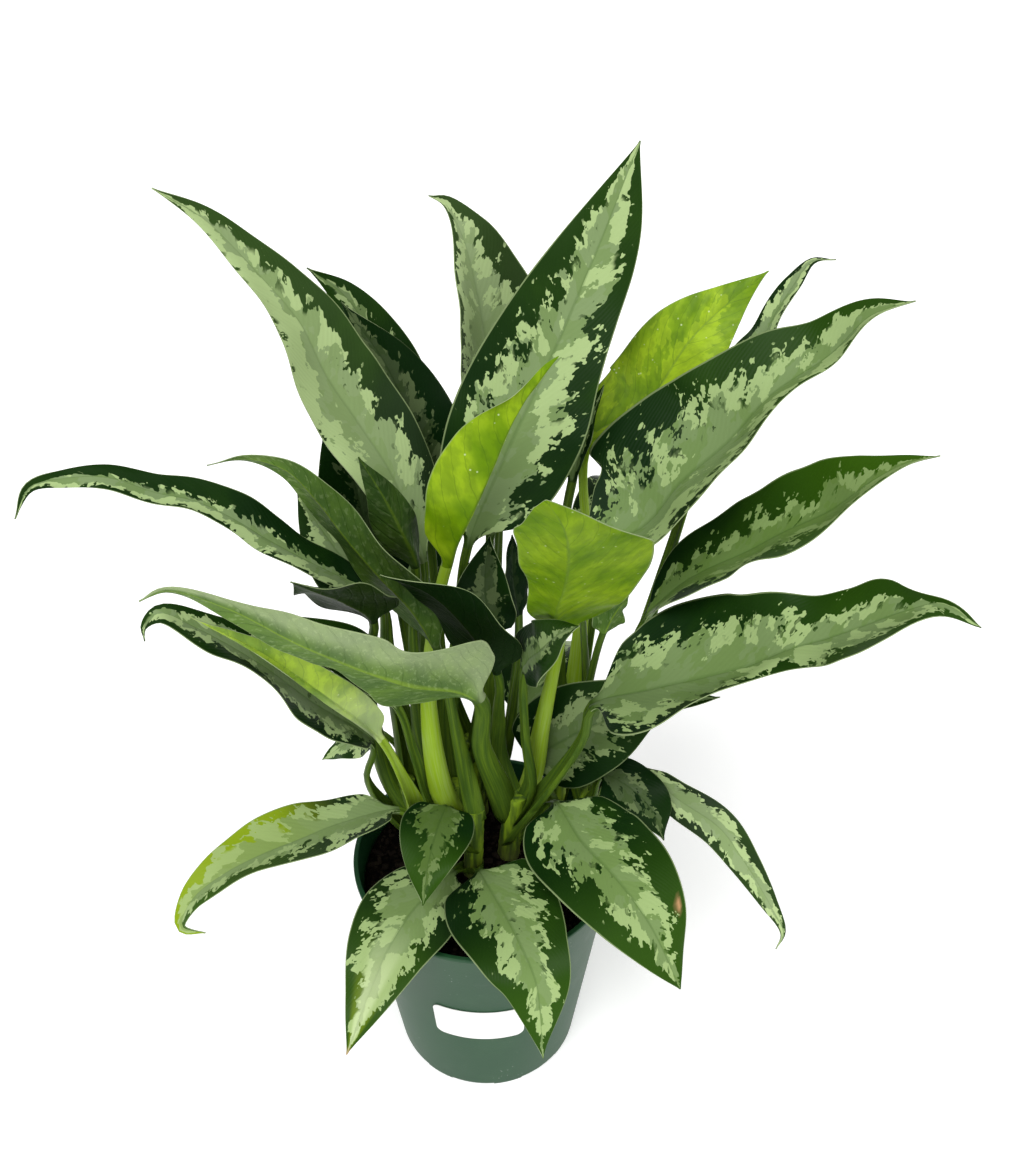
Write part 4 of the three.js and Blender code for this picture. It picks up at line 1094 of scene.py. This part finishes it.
class LeafLine:
    """A leaf's midline, with a tangent and an upward normal at each place."""

    def __init__(self, leaf):
        self.points = spline([Vector(knot) for knot in (*leaf.stalk, *leaf.rib)])
        last = len(self.points) - 1
        self.lengths = [0]
        for before, point in zip(self.points, self.points[1:]):
            self.lengths.append(self.lengths[-1] + (point - before).length)
        self.tangents = [self.tangent(i) for i in range(last + 1)]
        self.base = self.lengths[len(leaf.stalk) * SAMPLES]
        self.length = self.lengths[-1]
        target = lerp(self.base, self.length, MIDDLE)
        middle = next(i for i, length in enumerate(self.lengths) if length >= target)
        self.normals = [None] * (last + 1)
        self.normals[middle] = self.flat(Vector(leaf.facing), middle)
        for i in range(middle + 1, last + 1):
            self.normals[i] = self.flat(self.normals[i - 1], i)
        for i in range(middle - 1, -1, -1):
            self.normals[i] = self.flat(self.normals[i + 1], i)

    def tangent(self, i):
        before = self.points[max(i - 1, 0)]
        after = self.points[min(i + 1, len(self.points) - 1)]
        return (after - before).normalized()

    def flat(self, normal, i):
        """The normal, turned square to the line at its place i."""
        tangent = self.tangents[i]
        return (normal - tangent * normal.dot(tangent)).normalized()

    def at(self, length):
        """Point, tangent and normal at a length along the line."""
        following = max(1, bisect_left(self.lengths, length))
        following = min(following, len(self.lengths) - 1)
        before = following - 1
        share = (length - self.lengths[before]) / (self.lengths[following] - self.lengths[before])
        return (self.points[before].lerp(self.points[following], share),
                self.tangents[before].lerp(self.tangents[following], share).normalized(),
                self.normals[before].lerp(self.normals[following], share).normalized())


def half_width(leaf, v):
    """Half the blade's width at the share v of the way from its base to its tip."""
    peak = leaf.base / (leaf.base + leaf.tip)
    top = peak ** leaf.base * (1 - peak) ** leaf.tip
    return max(TIP_HALF_MM, leaf.width / 2 * v ** leaf.base * (1 - v) ** leaf.tip / top)


def spread(values, v):
    """One value, or a smooth curve through values that are spread evenly from base to tip."""
    if not isinstance(values, tuple):
        return values
    last = len(values) - 1
    place = min(1, max(0, v)) * last
    i = min(int(place), last - 1)
    t = place - i
    a, b, c, d = (values[min(last, max(0, k))] for k in (i - 1, i, i + 1, i + 2))
    bend = t * (2 * a - 5 * b + 4 * c - d + t * (3 * b - a - 3 * c + d))
    return b + t * (c - a + bend) / 2


class LeafShape:
    """The points of one leaf, ring by ring from its foot to its tip."""

    def __init__(self, leaf, settings, seed):
        self.leaf = leaf
        self.line = LeafLine(leaf)
        self.blade = self.line.length - self.line.base
        self.thick = settings.thick / MM / 2
        self.margin = settings.margin_thick / MM / 2
        self.relief = settings.vein_relief / MM
        self.ripple = settings.ripple / MM
        draw = random.Random(seed)
        self.phases = [draw.uniform(0, 2 * math.pi) for _ in range(4)]
        self.shift = seed * LEAF_SHIFT

    def columns(self, v):
        """Places across one half, from the midrib to the margin, closer together at both."""
        half = half_width(self.leaf, v)
        groove = min(0.3, GROOVE_HALF_MM * (1.15 - v) / half)
        shares = [0, groove * 0.5, groove]
        rest = COLUMNS - len(shares)
        for i in range(1, rest):
            shares.append(lerp(groove, 1, i / rest))
        shares += [MARGIN_COLUMN, 1]
        return shares

    def middle_surface(self, v, s):
        """How far the blade's middle surface lies beside and above its midrib.

        v runs from base to tip, and s from -1 to 1 across the blade.
        """
        leaf = self.leaf
        half = half_width(leaf, v) * spread(leaf.halves[s > 0], v)
        fold = math.radians(leaf.fold)
        wave, count, shift = leaf.wave
        side = 2 if s > 0 else 0
        ends = max(0, math.sin(math.pi * min(1, max(0, v)))) ** 0.5
        swell = math.sin(2 * math.pi * count * v + shift + side)
        rise = math.sqrt(s * s + FOLD_ROUND) - math.sqrt(FOLD_ROUND)
        up = half * (math.sin(fold) * rise - leaf.droop * s * s) + wave * s * s * swell * ends
        along = v * self.blade
        beside = abs(half * s)
        first, second = self.phases[:2] if s > 0 else self.phases[2:]
        short, long = RIPPLE_LENGTHS_MM
        small = math.sin(along / short + first) * 0.6 + math.sin(along / long + second)
        up += self.ripple * small * abs(s) ** 3 * ends
        level = along - beside * (VEIN_LEAN + abs(s) * VEIN_CURVE)
        veins = math.cos(2 * math.pi * level / VEIN_SPACING_MM)
        flank = math.sin(math.pi * min(1, abs(s))) ** 0.7 if 0 < abs(s) < 1 else 0
        return half * s * math.cos(fold), up + self.relief * veins * flank * ends

    def blade_point(self, v, s, face):
        """A point of the upper face or the underside, with the groove or the keel of the midrib."""
        across, up = self.middle_surface(v, s)
        near = self.middle_surface(v, s - 0.02)
        far = self.middle_surface(v, s + 0.02)
        slope = math.atan2(far[1] - near[1], far[0] - near[0])
        thick = lerp(self.thick, self.margin, smooth(0.2, 1, abs(s)))
        beside = abs(across)
        if face > 0:
            groove = GROOVE_HALF_MM * (1.1 - v)
            thick -= GROOVE_DEPTH * groove * math.exp(-(beside / (groove * GROOVE_SPREAD)) ** 2)
        else:
            keel = KEEL_HALF_MM * (1.1 - v)
            thick += KEEL_DEPTH_MM * (1 - v) ** 1.3 * math.exp(-(beside / keel) ** 2)
        out = face * thick
        return across - math.sin(slope) * out, up + math.cos(slope) * out

    def stalk_point(self, share, k, count, face, radius):
        """A round stalk with a channel above, which opens into a sheath towards its foot."""
        angle = math.pi * (1 - (k + 0.5) / count)
        x = radius * math.cos(angle)
        y = radius * math.sin(angle) * face
        sheath = smooth(SHEATH_END, 0.1, share)
        if face > 0:
            y *= STALK_FLATNESS - SHEATH_HOLLOW * sheath
            y -= radius * CHANNEL_DEPTH * math.exp(-(x / (radius * CHANNEL_HALF)) ** 2)
        y += radius * SHEATH_RISE * sheath * (abs(x) / radius) ** 3
        return x * (1 + SHEATH_SPREAD * sheath), y

    def ring(self, length):
        """One ring round the stalk or the blade, and each point's places in the maps of looks."""
        line = self.line
        leaf = self.leaf
        v = (length - line.base) / self.blade
        point, tangent, normal = line.at(length)
        up = normal.copy()
        up.rotate(Quaternion(tangent, math.radians(spread(leaf.roll, v))))
        side = tangent.cross(up)
        share = min(1, length / line.base)
        radius = lerp(leaf.foot, leaf.neck, smooth(0, 0.8, share))
        blend = smooth(0, NECK_SHARE, v)
        halves = self.columns(max(v, 0.001))
        places = [-s for s in reversed(halves)] + halves[1:]
        points = []
        maps = []
        for face in (1, -1):
            order = range(len(places)) if face > 0 else range(len(places) - 1, -1, -1)
            for k in order:
                s = places[k]
                across, rise = self.stalk_point(share, k, len(places), face, radius)
                if v > 0:
                    flat = self.blade_point(v, s, face)
                    across = lerp(across, flat[0], blend)
                    rise = lerp(rise, flat[1], blend)
                points.append((point + side * across + up * rise) * MM)
                maps.append((s / 2 + 0.5, v, across * MM, length * MM + self.shift))
        return points, maps

    def rings(self):
        """All rings, and how many of them belong to the stalk alone."""
        line = self.line
        stalk = max(3, round(line.base / STALK_STEP_MM))
        blade = max(24, round(self.blade / RING_STEP_MM))
        lengths = [line.base * i / stalk for i in range(stalk)]
        lengths += [line.base + self.blade * i / blade for i in range(blade + 1)]
        return [self.ring(length) for length in lengths], stalk


def ripeness(leaf, s, v):
    """Yellowed and scorched shares, and painted light at a place on the blade, painted shade where it is
    below zero.
    """
    ripe = 0
    scorch = 0
    painted_light_patch = 0
    if leaf.name == "leaf_bottom_left":
        ripe = smooth(0.2, 0.5, v) * (s > 0)
    if leaf.name == "leaf_front_left":
        ripe = 0.4 * smooth(0.45, 0.85, v) * smooth(0.75, 0.45, abs(s))
        # Painted highlight on the middle of the blade towards the tip.
        painted_light_patch = 0.30 * smooth(0.35, 0.75, v) * smooth(0.5, 0.25, abs(s))
        scorch = smooth(0.975, 0.99, v)
    if leaf.name == "leaf_front_right":
        scorch = smooth(0.085, 0.04, math.hypot(s + 0.80, (v - 0.72) * 2.6))
    if leaf.name == "leaf_cupped_left":
        # Painted sheen on the left half.
        painted_light_patch = 0.26 * smooth(0.0, 0.6, -s)
    if leaf.name == "leaf_young_low_left":
        # Painted light near the base.
        painted_light_patch = 0.25 * smooth(0.5, 0.2, v)
    if leaf.name == "leaf_young_upright":
        # Painted shade at the base.
        painted_light_patch = -0.45 * smooth(0.3, 0.0, v)
    if leaf.name == "leaf_long_under":
        # Painted light towards the tip.
        painted_light_patch = 0.55 * smooth(0.6, 0.85, v)
    return ripe, scorch, painted_light_patch


def leaf_faces(rows, count, stalk):
    """Faces between rings of count points, closed at both ends, and the slot of each face's material."""
    half = count // 2
    faces = []
    slots = []
    for row in range(rows - 1):
        for k in range(count):
            a = row * count + k
            b = row * count + (k + 1) % count
            faces.append((a, b, b + count, a + count))
            if row < stalk:
                slots.append(STALK)
            elif k in (half - 1, count - 1):
                slots.append(MARGIN)
            else:
                slots.append(UPPER if k < half else UNDER)
    faces.append(tuple(reversed(range(count))))
    faces.append(tuple(range((rows - 1) * count, rows * count)))
    return faces, slots + [STALK, MARGIN]


def map_looks(mesh, leaf, maps):
    """Lay the maps that the materials read: places on the blade, its grain, the leaf's own look, and its
    painted shade and painted light.
    """
    blade = mesh.uv_layers.new(name="Blade")
    pattern = mesh.uv_layers.new(name="Pattern")
    entries = [maps[loop.vertex_index] for loop in mesh.loops]
    blade.data.foreach_set("uv", [value for entry in entries for value in entry[:2]])
    pattern.data.foreach_set("uv", [value for entry in entries for value in entry[2:]])
    silver, green, painted_light = leaf.look
    left, right = silver if isinstance(silver, tuple) else (silver, silver)
    sides = [entry[0] * 2 - 1 for entry in maps]
    marks = [ripeness(leaf, s, entry[1]) for s, entry in zip(sides, maps)]
    # The leaf's painted shade and painted light: the last value of look, plus the painted patches from
    # ripeness.
    for name, values in (
        ("silver", [lerp(left, right, smooth(-0.1, 0.1, s)) for s in sides]),
        ("green", [green] * len(maps)),
        ("painted_light", [painted_light + painted_light_patch for _, _, painted_light_patch in marks]),
        ("ripe", [ripe for ripe, _, _ in marks]),
        ("scorch", [scorch for _, scorch, _ in marks]),
    ):
        mesh.attributes.new(name, "FLOAT", "POINT").data.foreach_set("value", values)


class EVERGREEN_OT_leaves(bpy.types.Operator):
    """Build every leaf: channelled stalk, folded blade with midrib and side veins, and its variegation"""

    bl_idname = "evergreen.leaves"
    bl_label = "Leaves"

    def execute(self, context):
        settings = context.scene.evergreen_leaf
        for i, leaf in enumerate(LEAVES):
            self.build(leaf, settings, i)
        return {"FINISHED"}

    def build(self, leaf, settings, seed):
        rings, stalk = LeafShape(leaf, settings, seed).rings()
        points = [point for ring, _ in rings for point in ring]
        maps = [entry for _, entries in rings for entry in entries]
        faces, slots = leaf_faces(len(rings), len(rings[0][0]), stalk)
        piece = new_piece(leaf.name + "_blade", points, faces)
        for name, make in YOUNG_SKIN if leaf.young else MATURE_SKIN:
            piece.data.materials.append(once(name, make))
        piece.data.polygons.foreach_set("material_index", slots)
        piece.data.polygons.foreach_set("use_smooth", [True] * len(faces))
        map_looks(piece.data, leaf, maps)
        finish(piece, "young_leaf" if leaf.young else "leaf", leaf.name)


class EVERGREEN_OT_canes(bpy.types.Operator):
    """Build the canes: round stems with the swollen rings that old leaves leave"""

    bl_idname = "evergreen.canes"
    bl_label = "Canes"

    def execute(self, context):
        for name, (radius, path) in CANES.items():
            points = spline([Vector(knot) for knot in path])
            rings = []
            for i, point in enumerate(points):
                share = i / (len(points) - 1)
                scar = abs((point.z - SCARS_FROM_MM) / SCAR_SPACING_MM % 1 - 0.5) * 2
                swell = 1 + SCAR_SWELL * smooth(0.7, 1, scar)
                rings.append((tuple(point * MM), radius * (1 - CANE_TAPER * share) * swell * MM))
            top, end = rings[-1]
            rings.append((top, end * CANE_TOP_RING))
            piece = extruded_rings(name + "_stem", CANE_SIDES, rings)
            smooth_shade(piece, 50)
            piece.data.materials.append(once("cane_skin", cane_skin))
            finish(piece, "cane", name)
        return {"FINISHED"}


class EVERGREEN_OT_stage(bpy.types.Operator):
    """Lay the pale floor, set the soft lights and place the camera"""

    bl_idname = "evergreen.stage"
    bl_label = "Stage"

    def execute(self, context):
        stage = context.scene.evergreen_stage
        deselect_all()
        bpy.ops.mesh.primitive_plane_add(size=FLOOR_SIZE)
        floor = context.object
        floor.name = "floor"
        shader = Shader("floor_paint", roughness=0.9, emission_strength=FLOOR_GLOW)
        shader.paint(stage.floor)
        floor.data.materials.append(shader.material)

        world = bpy.data.worlds.new("even_light")
        world.use_nodes = True
        background = world.node_tree.nodes["Background"]
        background.inputs["Color"].default_value = (1, 1, 1, 1)
        background.inputs["Strength"].default_value = stage.sky
        context.scene.world = world

        for angles, share, width in SUNS:
            turn = [math.radians(angle) for angle in angles]
            bpy.ops.object.light_add(type="SUN", location=(0, 0, 2), rotation=turn)
            lamp = context.object.data
            lamp.energy = stage.key * share
            lamp.angle = math.radians(width)

        bpy.ops.object.camera_add(location=stage.camera, rotation=(math.pi / 2 - stage.tilt, 0, 0))
        camera = context.object
        camera.data.lens = stage.lens
        camera.data.sensor_width = 36
        context.scene.camera = camera
        context.scene.view_settings.view_transform = "Standard"
        return {"FINISHED"}


class EVERGREEN_PT_panel(bpy.types.Panel):
    """The plant's pieces and settings in the 3D view's sidebar"""

    bl_idname = "EVERGREEN_PT_panel"
    bl_label = "Evergreen"
    bl_space_type = "VIEW_3D"
    bl_region_type = "UI"
    bl_category = "Evergreen"

    def draw(self, context):
        for operator in OPERATORS:
            self.layout.operator(operator.bl_idname)
        for name in SETTINGS:
            group = getattr(context.scene, name)
            box = self.layout.box()
            for word in group.bl_rna.properties.keys():
                if word not in ("rna_type", "name"):
                    box.prop(group, word)


SETTINGS = {
    "evergreen_pot": PotSettings,
    "evergreen_soil": SoilSettings,
    "evergreen_leaf": LeafSettings,
    "evergreen_stage": StageSettings,
}
OPERATORS = (
    EVERGREEN_OT_pot,
    EVERGREEN_OT_label,
    EVERGREEN_OT_soil,
    EVERGREEN_OT_canes,
    EVERGREEN_OT_leaves,
    EVERGREEN_OT_stage,
)


def register():
    for kind in (*SETTINGS.values(), *OPERATORS, EVERGREEN_PT_panel):
        bpy.utils.register_class(kind)
    for name, kind in SETTINGS.items():
        setattr(bpy.types.Scene, name, bpy.props.PointerProperty(type=kind))


def unregister():
    for name in SETTINGS:
        delattr(bpy.types.Scene, name)
    for kind in (EVERGREEN_PT_panel, *reversed(OPERATORS), *SETTINGS.values()):
        bpy.utils.unregister_class(kind)


def main():
    register()
    bpy.ops.evergreen.pot()
    bpy.ops.evergreen.label()
    bpy.ops.evergreen.soil()
    bpy.ops.evergreen.canes()
    bpy.ops.evergreen.leaves()
    bpy.ops.evergreen.stage()


if __name__ == "__main__":
    main()
